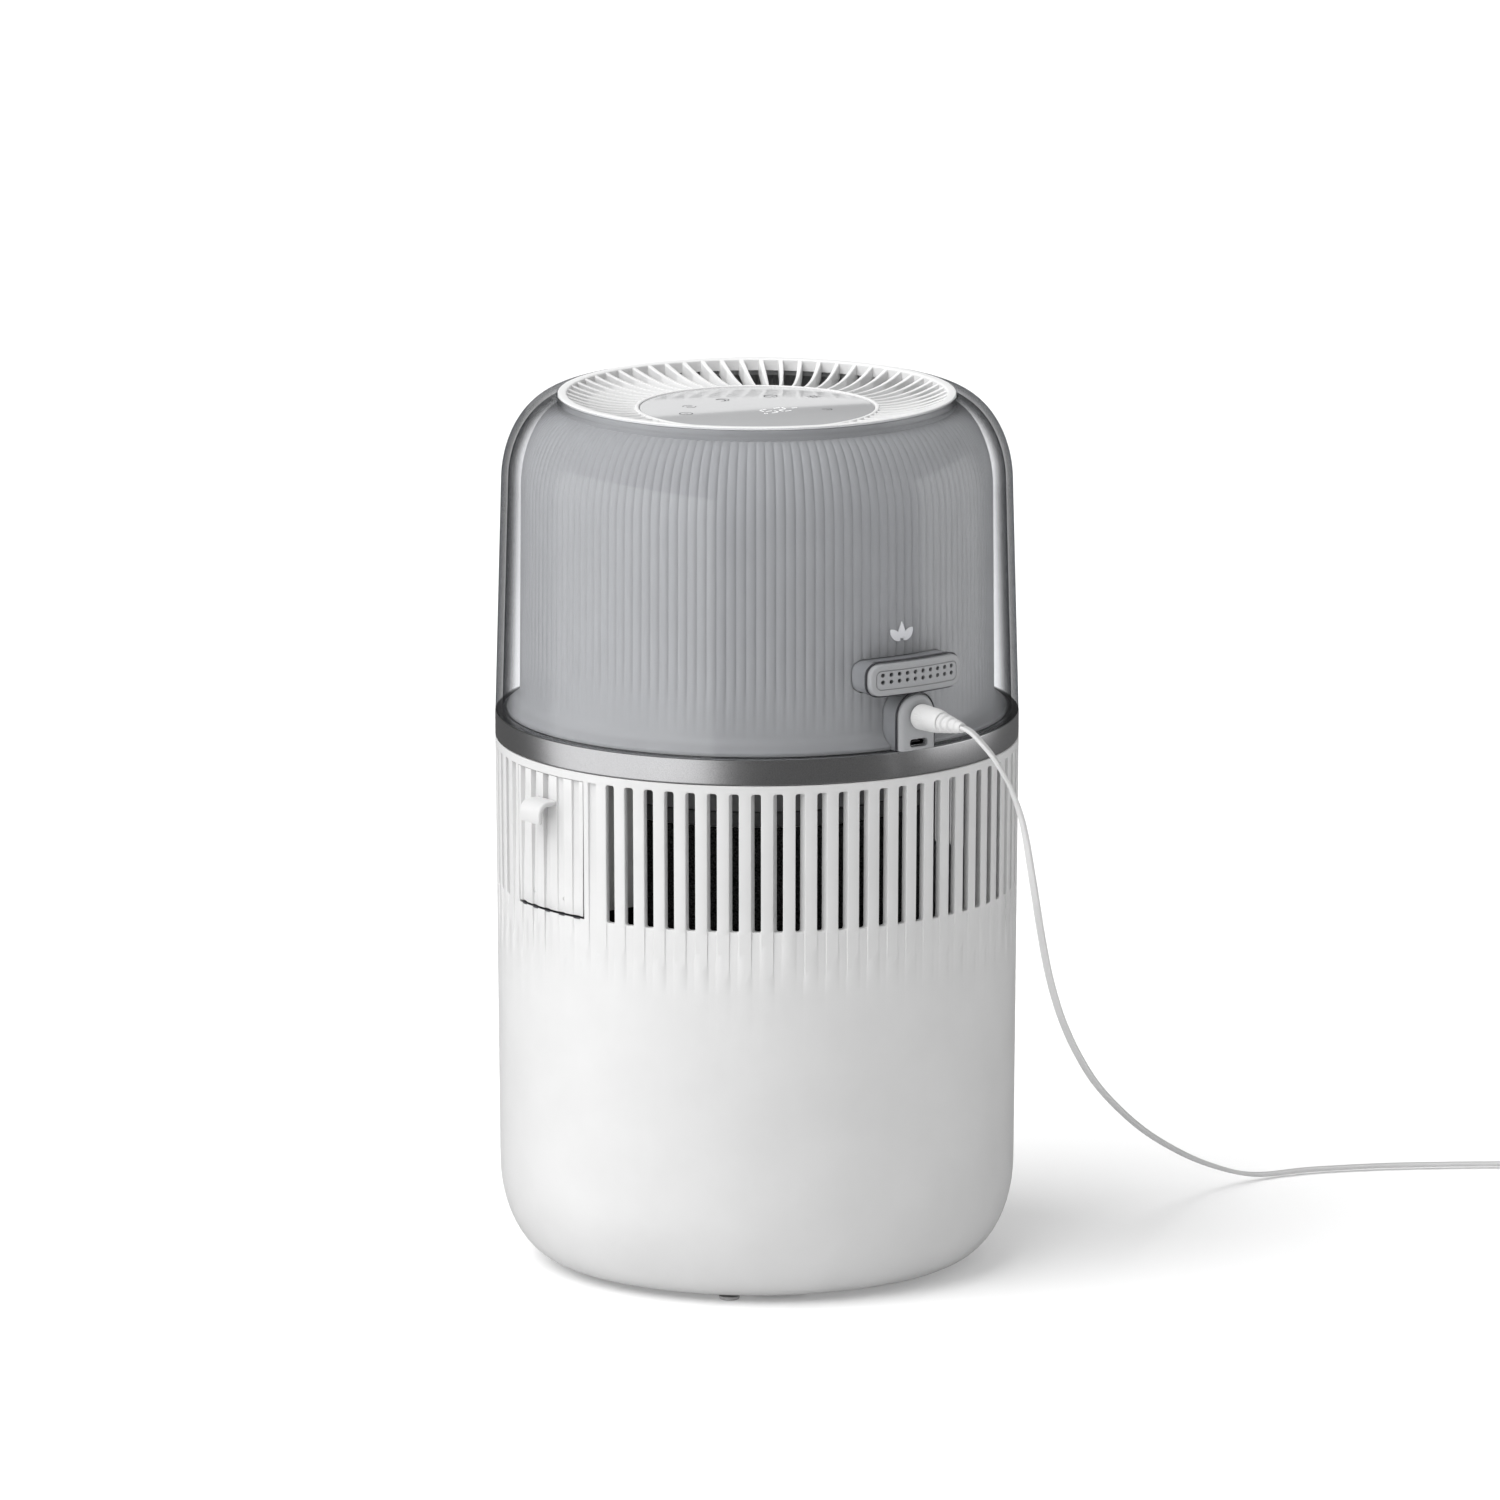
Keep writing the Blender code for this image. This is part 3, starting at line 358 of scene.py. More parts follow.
def moulded(name, colour, roughness, grain=0.00002, **sockets):
    """Moulded plastic: fine spark grain, slight unevenness in colour and gloss."""
    made, tree, shader = new_look(name, colour, roughness, **sockets)
    broad = texture(tree, "ShaderNodeTexNoise", 30.0, Detail=3.0)
    tint(tree, broad, [c * 0.97 for c in colour], [min(c * 1.02, 1) for c in colour],
         shader.inputs["Base Color"])
    fine = texture(tree, "ShaderNodeTexNoise", 2600.0, Detail=2.0)
    spread(tree, fine, roughness - 0.05, roughness + 0.06, shader.inputs["Roughness"])
    relief(tree, shader, fine, grain)
    return made


def metal(name, colour, roughness, grain_scale, grain, stretch=(1, 1, 1)):
    made, tree, shader = new_look(name, colour, roughness, 1.0)
    fine = texture(tree, "ShaderNodeTexNoise", grain_scale, stretch, Detail=2.0)
    tint(tree, fine, [c * 0.86 for c in colour], [min(c * 1.1, 1) for c in colour],
         shader.inputs["Base Color"])
    spread(tree, fine, roughness - 0.06, roughness + 0.08, shader.inputs["Roughness"])
    relief(tree, shader, fine, grain)
    return made


def clear_plastic():
    """Thin clear wall: see-through, darker where it is seen edge on, with a sharp gloss."""
    made = bpy.data.materials.new("clear_plastic")
    made.use_nodes = True
    tree = made.node_tree
    tree.nodes.remove(tree.nodes["Principled BSDF"])
    facing = tree.nodes.new("ShaderNodeLayerWeight")
    facing.inputs["Blend"].default_value = 0.5
    ramp = tree.nodes.new("ShaderNodeValToRGB")
    ramp.color_ramp.elements[0].position = 0.0
    ramp.color_ramp.elements[0].color = (0.975, 0.978, 0.985, 1)
    ramp.color_ramp.elements[1].position = 1.0
    ramp.color_ramp.elements[1].color = (0.28, 0.29, 0.31, 1)
    for position, shade in ((0.62, 0.98), (0.70, 0.86), (0.80, 0.47)):
        stop = ramp.color_ramp.elements.new(position)
        stop.color = (shade, shade * 1.003, shade * 1.01, 1)
    through = tree.nodes.new("ShaderNodeBsdfTransparent")
    gloss = tree.nodes.new("ShaderNodeBsdfGlossy")
    haze = texture(tree, "ShaderNodeTexNoise", 90.0, Detail=2.0)
    spread(tree, haze, 0.11, 0.15, gloss.inputs["Roughness"])
    grazing = tree.nodes.new("ShaderNodeMath")
    grazing.operation = "POWER"
    grazing.inputs[1].default_value = 5.0
    mix = tree.nodes.new("ShaderNodeMixShader")
    links = tree.links
    links.new(facing.outputs["Facing"], grazing.inputs[0])
    spread(tree, grazing.outputs["Value"], 0.032, 0.20, mix.inputs["Fac"])
    links.new(facing.outputs["Facing"], ramp.inputs["Fac"])
    links.new(ramp.outputs["Color"], through.inputs["Color"])
    links.new(through.outputs["BSDF"], mix.inputs[1])
    links.new(gloss.outputs["BSDF"], mix.inputs[2])
    links.new(mix.outputs["Shader"], tree.nodes["Material Output"].inputs["Surface"])
    return made


def woven(name, colour, bright, scale):
    """A net, foam or felt: small cells in colour and relief."""
    made, tree, shader = new_look(name, colour, 0.95)
    grain = texture(tree, "ShaderNodeTexVoronoi", scale)
    tint(tree, grain, bright, colour, shader.inputs["Base Color"])
    relief(tree, shader, grain, 0.0004, 0.8)
    return made


def pleated():
    made, tree, shader = new_look("filter_paper", (0.85, 0.85, 0.83), 0.9)
    grain = texture(tree, "ShaderNodeTexNoise", 900.0, (1, 1, 0.1), Detail=3.0)
    tint(tree, grain, (0.76, 0.76, 0.74), (0.90, 0.90, 0.88), shader.inputs["Base Color"])
    relief(tree, shader, grain, 0.0003)
    return made


def board_green():
    made, tree, shader = new_look("circuit_board", (0.02, 0.16, 0.07), 0.4)
    tracks = texture(tree, "ShaderNodeTexVoronoi", 260.0, (1, 1, 1))
    tint(tree, tracks, (0.03, 0.22, 0.10), (0.01, 0.10, 0.05), shader.inputs["Base Color"])
    relief(tree, shader, tracks, 0.0001)
    return made


WHITE = moulded("white_shell", (0.60, 0.60, 0.60), 0.42)
# the outlet's white is the shell's plastic set lighter: painted light for the brighter top
LIT_WHITE = moulded("white_outlet_painted_lit", (0.82, 0.82, 0.82), 0.40)
INSIDE = moulded("white_inside", (0.68, 0.68, 0.67), 0.50)
LEAD_WHITE = moulded("lead_white", (0.60, 0.60, 0.60), 0.38, 0.00001)
BARREL = moulded("barrel_grey", (0.345, 0.348, 0.354), 0.42, 0.000004)
GREY = moulded("grey_plastic", (0.33, 0.335, 0.345), 0.38)
DARK = moulded("dark_plastic", (0.045, 0.045, 0.050), 0.50)
CAP = moulded("filter_cap_grey", (0.17, 0.17, 0.175), 0.55)
BAND = moulded("filter_band_grey", (0.080, 0.080, 0.082), 0.60)
GLOSS = moulded("control_gloss", (0.50, 0.503, 0.51), 0.06, 0.0000005)
ICON_DARK = moulded("icon_print", (0.10, 0.10, 0.105), 0.60, 0.000002, Specular_IOR_Level=0.0)
ICON_LIGHT = moulded("icon_light", (0.92, 0.92, 0.93), 0.35, 0.000002, Emission_Color=(1, 1, 1, 1),
                     Emission_Strength=0.35)
SYMBOL = moulded("symbol_print", (0.88, 0.88, 0.89), 0.45, 0.000004)
RUBBER = moulded("rubber", (0.45, 0.45, 0.45), 0.80, 0.00006)
FOAM = woven("foam", (0.03, 0.03, 0.03), (0.09, 0.09, 0.09), 1500.0)
NET = woven("filter_net", (0.002, 0.002, 0.002), (0.030, 0.030, 0.030), 1300.0)
FELT = woven("felt", (0.86, 0.85, 0.81), (0.70, 0.69, 0.65), 1100.0)
PAPER = pleated()
STEEL = metal("steel", (0.56, 0.56, 0.57), 0.26, 900.0, 0.00001, (1, 1, 12))
ALUMINIUM = metal("aluminium", (0.62, 0.62, 0.63), 0.30, 2600.0, 0.000004)
BOARD = board_green()
CLEAR = clear_plastic()


# Lower housing ----------------------------------------------------------------------------------
def side_radius(height):
    return BODY_R - (RING_Z[0] - height) * DRAFT


def draw_slope(angle):
    """How far a slot's walls slide round for each metre of depth: every sixth of the ring of slots
    is drawn straight out in one direction."""
    sector = round((angle - REAR_ANGLE) / SECTOR)
    return math.tan(REAR_ANGLE + sector * SECTOR - angle)


def groove_depth(across, height, angle):
    """Depth of a fading groove at a distance across from its middle."""
    if height <= GROOVE_LOW_Z or abs(across) >= SLOT_HALF + GROOVE_EDGE:
        return 0.0
    edge = min(max((SLOT_HALF + GROOVE_EDGE - abs(across)) / (2 * GROOVE_EDGE), 0.0), 1.0)
    lean = 1 + 0.55 * across / SLOT_HALF * draw_slope(angle) / math.tan(SECTOR / 2)
    return (height - GROOVE_LOW_Z) * GROOVE_SLOPE * edge * lean


def slot_offsets():
    """Distances across one pitch where the surface has columns."""
    half_pitch = PITCH * BODY_R / 2
    right = [0.0, SLOT_HALF / 2, SLOT_HALF - GROOVE_EDGE, SLOT_HALF + GROOVE_EDGE, half_pitch]
    return [-x for x in right[:0:-1]] + right


def slot_outline(grow):
    """One slot's outline as (across, height), from its lower left corner round to the left."""
    half = SLOT_HALF + grow
    corner = SLOT_CORNER + grow
    low, high = SLOT_Z[0] - grow, SLOT_Z[1] + grow

    def arc(centre_x, centre_z, start):
        return [(centre_x + corner * math.cos(start + math.pi / 6 * k),
                 centre_z + corner * math.sin(start + math.pi / 6 * k)) for k in range(4)]

    bottom = arc(corner - half, low + corner, math.pi) + [(0.0, low)]
    bottom += arc(half - corner, low + corner, 1.5 * math.pi)
    top = (arc(half - corner, high - corner, 0.0) + [(0.0, high)]
           + arc(corner - half, high - corner, 0.5 * math.pi))
    side = [(low + corner) + (high - low - 2 * corner) * k / 5 for k in range(1, 5)]
    return bottom + [(half, z) for z in side] + top + [(-half, z) for z in reversed(side)]


def slot_cell(index):
    """The skin round one open slot and the slot's walls."""
    angle = PITCH * index
    offsets = slot_offsets()
    side = SLOT_ZONE[1:-1]
    frame_line = [(x, SLOT_Z[0] - SLOT_MARGIN) for x in offsets] + [(offsets[-1], z) for z in side]
    frame_line += [(x, SLOT_Z[1] + SLOT_MARGIN) for x in reversed(offsets)]
    frame_line += [(offsets[0], z) for z in reversed(side)]
    slide = -draw_slope(angle)
    bevel = 0.0004

    def on_skin(across, height, depth, shift=0.0):
        fade = 1.0
        if height > SLOT_Z[0]:
            fade = max(0.0, 1 - (height - SLOT_Z[0]) / SLOT_CORNER)
        depth += groove_depth(across, height, angle) * fade
        return polar(side_radius(height) - depth, angle + (across + shift) / BODY_R, height)

    rings = [[on_skin(x, z, 0.0) for x, z in frame_line]]
    for k in range(4):
        lean = math.pi / 2 * k / 3
        grow = bevel * (1 - math.sin(lean))
        depth = bevel * (1 - math.cos(lean))
        rings.append([on_skin(x, z, depth) for x, z in slot_outline(grow)])
    inner = slot_outline(0.0)
    rings.append([polar(side_radius(z) - SLOT_WALL, angle + (x + slide * SLOT_WALL) / BODY_R, z)
                  for x, z in inner])
    rings.append([polar(side_radius(z) - SLOT_WALL, angle + x / BODY_R, z) for x, z in frame_line])
    return loops(rings, filled=False)


def is_door(index):
    return min(index, SLOT_COUNT - index) <= 2


def is_open_slot(index):
    return min(index, SLOT_COUNT - index) > 3


def housing_section():
    """Closed section of the housing as (radius, height, side) from the opening's lower edge, up the
    outside and down the inside."""
    width, rise = CORNER
    side_r = side_radius(UNDERSIDE_Z + rise)
    section = [(OPENING_R, UNDERSIDE_Z, "out"), (NOTCH_R, UNDERSIDE_Z, "out")]
    for i in range(15):
        lean = math.pi / 2 * i / 14
        section.append((side_r - width + width * math.sin(lean),
                        UNDERSIDE_Z + rise * (1 - math.cos(lean)), "out"))
    heights = [0.075, 0.105, GROOVE_LOW_Z]
    heights += [GROOVE_LOW_Z + (SLOT_ZONE[0] - GROOVE_LOW_Z) * k / 7 for k in range(1, 7)]
    heights += SLOT_ZONE
    top = RING_Z[0] - GAP
    heights.append(top - 0.0004)
    section += [(side_radius(z), z, "out") for z in heights]
    section.append((side_radius(top) - 0.0004, top, "top"))
    section.append((side_radius(top) - SLOT_WALL, top, "in"))
    section += [(side_radius(z) - SLOT_WALL, z, "in") for z in reversed(SLOT_ZONE)]
    section.append((side_radius(0.10) - SLOT_WALL, 0.10, "in"))
    floor_z = UNDERSIDE_Z + FLOOR
    inner_width = width - SLOT_WALL
    for i in range(9):
        lean = math.pi / 2 * (1 - i / 8)
        section.append((side_r - width + inner_width * math.sin(lean),
                        floor_z + (rise - FLOOR) * (1 - math.cos(lean)), "in"))
    section += [(NOTCH_R, floor_z, "in"), (OPENING_R, floor_z, "in")]
    return section


def base_housing():
    offsets = slot_offsets()[:-1]
    per_pitch = len(offsets)
    columns = [(i, x) for i in range(SLOT_COUNT) for x in offsets]
    section = housing_section()
    verts = []
    for radius, height, side in section:
        for index, across in columns:
            angle = PITCH * index
            depth = 0.0
            if side == "out" and height < (SLOT_Z[0] + TINY if is_open_slot(index) else SLOT_Z[1] - TINY):
                depth = groove_depth(across, height, angle)
            verts.append(polar(radius - depth, angle + across / BODY_R, height))
    count = len(columns)
    rows = len(section)
    zone_rows = [k for k in range(rows) if SLOT_ZONE[0] - TINY < section[k][1] < SLOT_ZONE[-1] + TINY]
    notches = [range(start * per_pitch + per_pitch // 2, (start + 3) * per_pitch + per_pitch // 2)
               for start in (11, 36, 61)]

    def at(row, column):
        return (row % rows) * count + column % count

    def skipped(row, column):
        index = columns[column][0]
        low = section[row]
        high = section[(row + 1) % rows]
        if row in (0, rows - 2, rows - 1):
            return any(column in notch for notch in notches)
        if row in zone_rows and (row + 1) in zone_rows and low[2] == high[2]:
            if is_open_slot(index):
                return True
            if is_door(index):
                return min(low[1], high[1]) > SLOT_Z[0] - TINY and max(low[1], high[1]) < SLOT_Z[1] + TINY
        return False

    faces = []
    for row in range(rows):
        for column in range(count):
            if not skipped(row, column):
                faces.append([at(row, column), at(row, column + 1),
                              at(row + 1, column + 1), at(row + 1, column)])
    for notch in notches:
        for column in notch:
            faces.append([at(1, column), at(1, column + 1), at(rows - 2, column + 1), at(rows - 2, column)])
        for column in (notch.start, notch.stop):
            faces.append([at(0, column), at(1, column), at(rows - 2, column), at(rows - 1, column)])
    outer_rows = {round(section[k][1], 6): k for k in zone_rows if section[k][2] == "out"}
    inner_rows = {round(section[k][1], 6): k for k in zone_rows if section[k][2] == "in"}
    door_start = (SLOT_COUNT - 2) * per_pitch
    door_stop = door_start + 5 * per_pitch
    for height in SLOT_Z:
        outer_row, inner_row = outer_rows[round(height, 6)], inner_rows[round(height, 6)]
        for column in range(door_start, door_stop):
            faces.append([at(outer_row, column), at(outer_row, column + 1),
                          at(inner_row, column + 1), at(inner_row, column)])
    window = [z for z in SLOT_ZONE if SLOT_Z[0] - TINY < z < SLOT_Z[1] + TINY]
    for column in (door_start, door_stop):
        for low, high in zip(window, window[1:]):
            corners = [(outer_rows, low), (outer_rows, high), (inner_rows, high), (inner_rows, low)]
            faces.append([at(row_of[round(z, 6)], column) for row_of, z in corners])
    cells = [slot_cell(i) for i in range(SLOT_COUNT) if is_open_slot(i)]
    verts, faces = joined((verts, faces), *cells)
    piece("housing_shell", verts, faces, WHITE, "housing", ["base_housing"], "white_shell", merge=TINY)


def feet():
    for i in range(1, 5):
        low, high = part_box(f"foot_pad_{i}")
        radius = (high.x - low.x) / 2
        centre = Matrix.Translation(((low.x + high.x) / 2, (low.y + high.y) / 2, 0))
        profile = fillet([(0, low.z, 0), (radius - 0.0002, low.z, 0.0006), (radius, high.z, 0.0002),
                          (0, high.z, 0)])
        pad = moved(lathe(profile, 40), centre)
        piece(f"foot_{i}", *pad, RUBBER, "housing", [f"foot_pad_{i}"], "rubber")


def filter_cover():
    """Twist cover with a dished grip."""
    rim_r = OPENING_R - 0.0006
    dish_r = 0.0300
    profile = fillet([(0, 0.0098, 0), (dish_r - 0.002, 0.0098, 0.002), (dish_r, 0.0022, 0.0008),
                      (0.0600, 0.0022, 0), (0.0606, 0.0026, 0), (0.0612, 0.0022, 0),
                      (rim_r, 0.0022, 0.0010), (rim_r, 0.0100, 0.0004), (rim_r - 0.003, 0.0100, 0.0004),
                      (rim_r - 0.003, 0.0046, 0.0006), (dish_r + 0.0024, 0.0046, 0.0006),
                      (dish_r + 0.0024, 0.0122, 0.0006), (0, 0.0122, 0)])
    tabs = []
    for middle in (40, 160, 280):
        start = math.radians(middle - 6.5)
        rings = []
        for k in range(7):
            angle = start + math.radians(13) * k / 6
            rings.append([polar(r, angle, z) for r, z in (
                (rim_r - 0.002, 0.0079), (OPENING_R + 0.0056, 0.0079),
                (OPENING_R + 0.0056, 0.0097), (rim_r - 0.002, 0.0097))])
        tabs.append(loops(rings))
    bar = boxed((-0.0310, -0.0045, 0.0020), (0.0310, 0.0045, 0.0110), 0.0016, 4)
    grips = [boxed((-0.024 + 0.004 * i, -0.0049, 0.0035), (-0.0228 + 0.004 * i, 0.0049, 0.0090), 0.0004, 2)
             for i in range(12)]
    verts, faces = joined(lathe(profile, 128), bar, *grips, *tabs)
    piece("cover_plate", verts, faces, WHITE, "cover", ["filter_cover"], "white_shell")


# Filter -----------------------------------------------------------------------------------------
def filter_rings():
    for name, look, slot in (
            ("filter_bottom_cap", CAP, "filter_cap"), ("filter_lower_band", BAND, "filter_cap"),
            ("filter_top_cap", CAP, "filter_cap"), ("filter_mesh", NET, "filter_mesh")):
        low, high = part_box(name)
        outer = high.x
        inner = outer - 0.0012 if name == "filter_mesh" else 0.0440
        rounding = 0.0002 if name == "filter_mesh" else 0.0007
        profile = [(inner, low.z, rounding), (outer, low.z, rounding), (outer, high.z, rounding),
                   (inner, high.z, rounding)]
        if name == "filter_mesh":
            seam_z = 0.1780
            profile[2:2] = [(outer, seam_z - 0.0006, 0), (outer - 0.0003, seam_z, 0),
                            (outer, seam_z + 0.0006, 0)]
        part = lathe(fillet(profile, 3, closed=True), 160, closed=True)
        piece(name + "_skin", *part, look, "housing", [name], slot)


# Ring, dome, barrel -----------------------------------------------------------------------------
def trim_ring():
    low, high = RING_Z
    rounding = 0.0006
    profile = fillet([(0.1070, low, 0), (BODY_R, low, rounding), (BODY_R, high, rounding), (0.1070, high, 0)],
                     5, closed=True)
    piece("metal_ring", *lathe(profile, 256, closed=True), ALUMINIUM, "housing", ["trim_ring"], "metal_ring")


def shoulder(side_r, base_z, shoulder_z, top_z, centre_r, steps, top_r):
    """Straight side, then a quarter ellipse that ends at top_r."""
    count = 12
    points = [(side_r[0] + (side_r[1] - side_r[0]) * k / count, base_z + (shoulder_z - base_z) * k / count)
              for k in range(count + 1)]
    width = side_r[1] - centre_r
    last = math.acos((top_r - centre_r) / width)
    for i in range(1, steps + 1):
        angle = last * i / steps
        points.append((centre_r + width * math.cos(angle),
                       shoulder_z + (top_z - shoulder_z) * math.sin(angle)))
    return points


def drawer_outline(inset, margin=0.0, steps=6, columns=14):
    """The drawer's round-cornered outline as (x, z), the lower edge first; both edges have the
    same x places."""
    half_x = DRAWER_SIZE[0] / 2 + margin - inset
    half_z = DRAWER_SIZE[1] / 2 + margin - inset
    corner = max(0.0050 + margin - inset, 0.0008)
    across = []
    for k in range(steps + 1):
        angle = math.pi / 2 * k / steps
        across.append((-half_x + corner - corner * math.cos(angle),
                       half_z - corner + corner * math.sin(angle)))
    straight = 2 * (half_x - corner)
    across += [(-half_x + corner + straight * k / columns, half_z) for k in range(1, columns)]
    across += [(-x, z) for x, z in reversed(across[:steps + 1])]
    lower = [(x, DRAWER_Z - z) for x, z in across]
    upper = [(x, DRAWER_Z + z) for x, z in reversed(across)]
    return lower + upper


def tombstone(half_width, low_z, steps=24):
    points = [(half_width * math.cos(math.pi * k / steps),
               JACK_Z + half_width * math.sin(math.pi * k / steps)) for k in range(steps + 1)]
    return points + [(-half_width, low_z), (half_width, low_z)]


def on_cylinder(outline, radius):
    return [Vector((x, math.sqrt(radius * radius - x * x), z)) for x, z in outline]


def prism(outline, start, end):
    return loops([[Vector((x, start, z)) for x, z in outline], [Vector((x, end, z)) for x, z in outline]])


def cut_openings(shell, end):
    """Take the drawer's and the jack's openings out of a shell, from inside it out to y = end."""
    for outline in (drawer_outline(0.0, OPENING_MARGIN), tombstone(JACK_HALF + OPENING_MARGIN, RING_Z[0])):
        cut(shell, prism(outline, 0.085, end))


def clear_dome():
    base_z = RING_Z[1] + GAP
    top_r = RIM_R[1] + 0.0006
    outer = shoulder(DOME_R, base_z, DOME_SHOULDER_Z, TOP_Z, DOME_CENTRE_R, 26, top_r)
    inner = shoulder([r - DOME_WALL for r in DOME_R], base_z, DOME_SHOULDER_Z, TOP_Z - DOME_WALL,
                     DOME_CENTRE_R - 0.001, 26, top_r)
    dome = piece("dome", *lathe(outer + inner[::-1], 192, closed=True), CLEAR, "housing", ["clear_dome"],
                 "clear_dome")
    cut_openings(dome, 0.125)


def inner_barrel():
    base_z = RING_Z[1] + GAP
    foot_z = base_z + 0.0045
    side_z = foot_z + 0.003
    top_r = RIM_R[0] + 0.0010
    centre_r = 0.0795
    outer = fillet([(0.1076, base_z, 0), (0.1076, base_z + 0.0015, 0.001), (0.1034, foot_z, 0.002),
                    (BARREL_OUTER_R[0], side_z, 0)])
    outer += shoulder(BARREL_OUTER_R, side_z, BARREL_SHOULDER_Z, BARREL_TOP_Z, centre_r, 14, top_r)[1:]
    inner = [(BARREL_INNER_R[0], base_z), (BARREL_INNER_R[0], side_z)]
    inner += shoulder(BARREL_INNER_R, side_z, BARREL_SHOULDER_Z, BARREL_TOP_Z - 0.0022, centre_r, 6,
                      top_r)[1::3]

    def fluted(radius, height, angle):
        if radius < BARREL_INNER_R[0] + 0.0001 and height < BARREL_SHOULDER_Z:
            return radius
        rise = min(max((height - side_z) / 0.020, 0.0), 1.0)
        wave = abs(math.sin(FLUTES / 2 * angle))
        return radius - FLUTE_DEPTH * rise * (1 - wave) ** 1.6

    profile = outer + inner[::-1]
    barrel = piece("fluted_barrel", *lathe(profile, FLUTES * 6, closed=True, shape=fluted), BARREL, "housing",
                   ["inner_barrel"], "barrel", sharp=60)
    cut_openings(barrel, 0.109)


# Outlet and control disc ------------------------------------------------------------------------
def vane_rise(radius):
    """Height of a vane's hollow top edge over the control disc."""
    share = (radius - VANE_R) / (RIM_R[0] - VANE_R)
    return 0.0002 + 0.0060 * max(share, 0.0) ** 2.2


def vane(angle):
    sections = []
    steps = 14
    start, end = VANE_R - 0.0008, RIM_R[0] + 0.0012
    for k in range(steps + 1):
        radius = start + (end - start) * k / steps
        share = (radius - VANE_R) / (RIM_R[0] - VANE_R)
        half = 0.00068 + 0.00034 * share
        top = DISC_Z + vane_rise(radius)
        low = top - VANE_DEPTH
        round_in = 0.0004
        section = [(-half, low), (-half, top - round_in), (-half * 0.72, top - 0.1 * round_in), (0, top),
                   (half * 0.72, top - 0.1 * round_in), (half, top - round_in), (half, low)]
        turn = angle + VANE_SWIRL * share
        out = Vector((math.cos(turn), math.sin(turn), 0))
        across = Vector((-out.y, out.x, 0))
        sections.append([out * radius + across * x + Vector((0, 0, z)) for x, z in section])
    return loops(sections)


def outlet_grille():
    inner_r, outer_r = RIM_R
    rim = fillet([(inner_r, TOP_Z - 0.0052, 0), (inner_r, TOP_Z - 0.0006, 0.0008),
                  (inner_r + 0.0006, TOP_Z - 0.0001, 0.0004), (outer_r, TOP_Z, 0.0006),
                  (outer_r, TOP_Z - 0.0012, 0), (inner_r + 0.0012, TOP_Z - 0.0012, 0),
                  (inner_r + 0.0012, TOP_Z - 0.0052, 0)], 4, closed=True)
    collar = fillet([(inner_r + 0.0015, TOP_Z - 0.0074, 0), (outer_r, TOP_Z - 0.0074, 0.0002),
                     (outer_r, TOP_Z - 0.0014, 0.0002), (inner_r + 0.0015, TOP_Z - 0.0014, 0)],
                    3, closed=True)
    piece("outlet_collar", *lathe(collar, 240, closed=True), BARREL, "housing", (), "barrel")
    hub_z = DISC_Z + 0.0004
    hub = fillet([(HUB_R + GAP, hub_z - VANE_DEPTH, 0), (VANE_R, hub_z - VANE_DEPTH, 0),
                  (VANE_R, hub_z, 0.0006), (HUB_R + GAP, hub_z, 0.0006)], 4, closed=True)
    vanes = [vane(math.tau * i / VANES) for i in range(VANES)]
    verts, faces = joined(lathe(rim, 240, closed=True), lathe(hub, 192, closed=True), *vanes)
    # outlet white set lighter than the shell's same plastic: painted light on the top
    piece("outlet", verts, faces, LIT_WHITE, "housing", ["outlet_grille"], "white_shell")


def ribbon(points, width, closed=False):
    """A flat line of (x, y) points with a width."""
    rings = []
    count = len(points)
    for i, point in enumerate(points):
        here = Vector(point)
        before = Vector(points[i - 1]) if i or closed else here
        after = Vector(points[(i + 1) % count]) if i < count - 1 or closed else here
        along = (after - before).normalized()
        side = Vector((-along.y, along.x)) * width / 2
        rings.append((here - side, here + side))
    verts = [Vector((v.x, v.y, 0)) for pair in rings for v in pair]
    faces = [[2 * i, 2 * ((i + 1) % count), 2 * ((i + 1) % count) + 1, 2 * i + 1]
             for i in range(count if closed else count - 1)]
    return verts, faces


def arc_points(radius, start, end, steps=24, centre=(0.0, 0.0)):
    return [(centre[0] + radius * math.cos(math.radians(start + (end - start) * k / steps)),
             centre[1] + radius * math.sin(math.radians(start + (end - start) * k / steps)))
            for k in range(steps + 1)]


def digit(segments):
    """A generic seven-segment digit about its own centre."""
    half_x, half_y = 0.0023, 0.0042
    ends = {"a": ((-half_x, half_y), (half_x, half_y)), "b": ((half_x, half_y), (half_x, 0)),
            "c": ((half_x, 0), (half_x, -half_y)), "d": ((-half_x, -half_y), (half_x, -half_y)),
            "e": ((-half_x, 0), (-half_x, -half_y)), "f": ((-half_x, half_y), (-half_x, 0)),
            "g": ((-half_x, 0), (half_x, 0))}
    parts = []
    for name in segments:
        start, end = Vector(ends[name][0]), Vector(ends[name][1])
        parts.append(ribbon([start.lerp(end, 0.14), start.lerp(end, 0.86)], 0.0006))
    return joined(*parts)


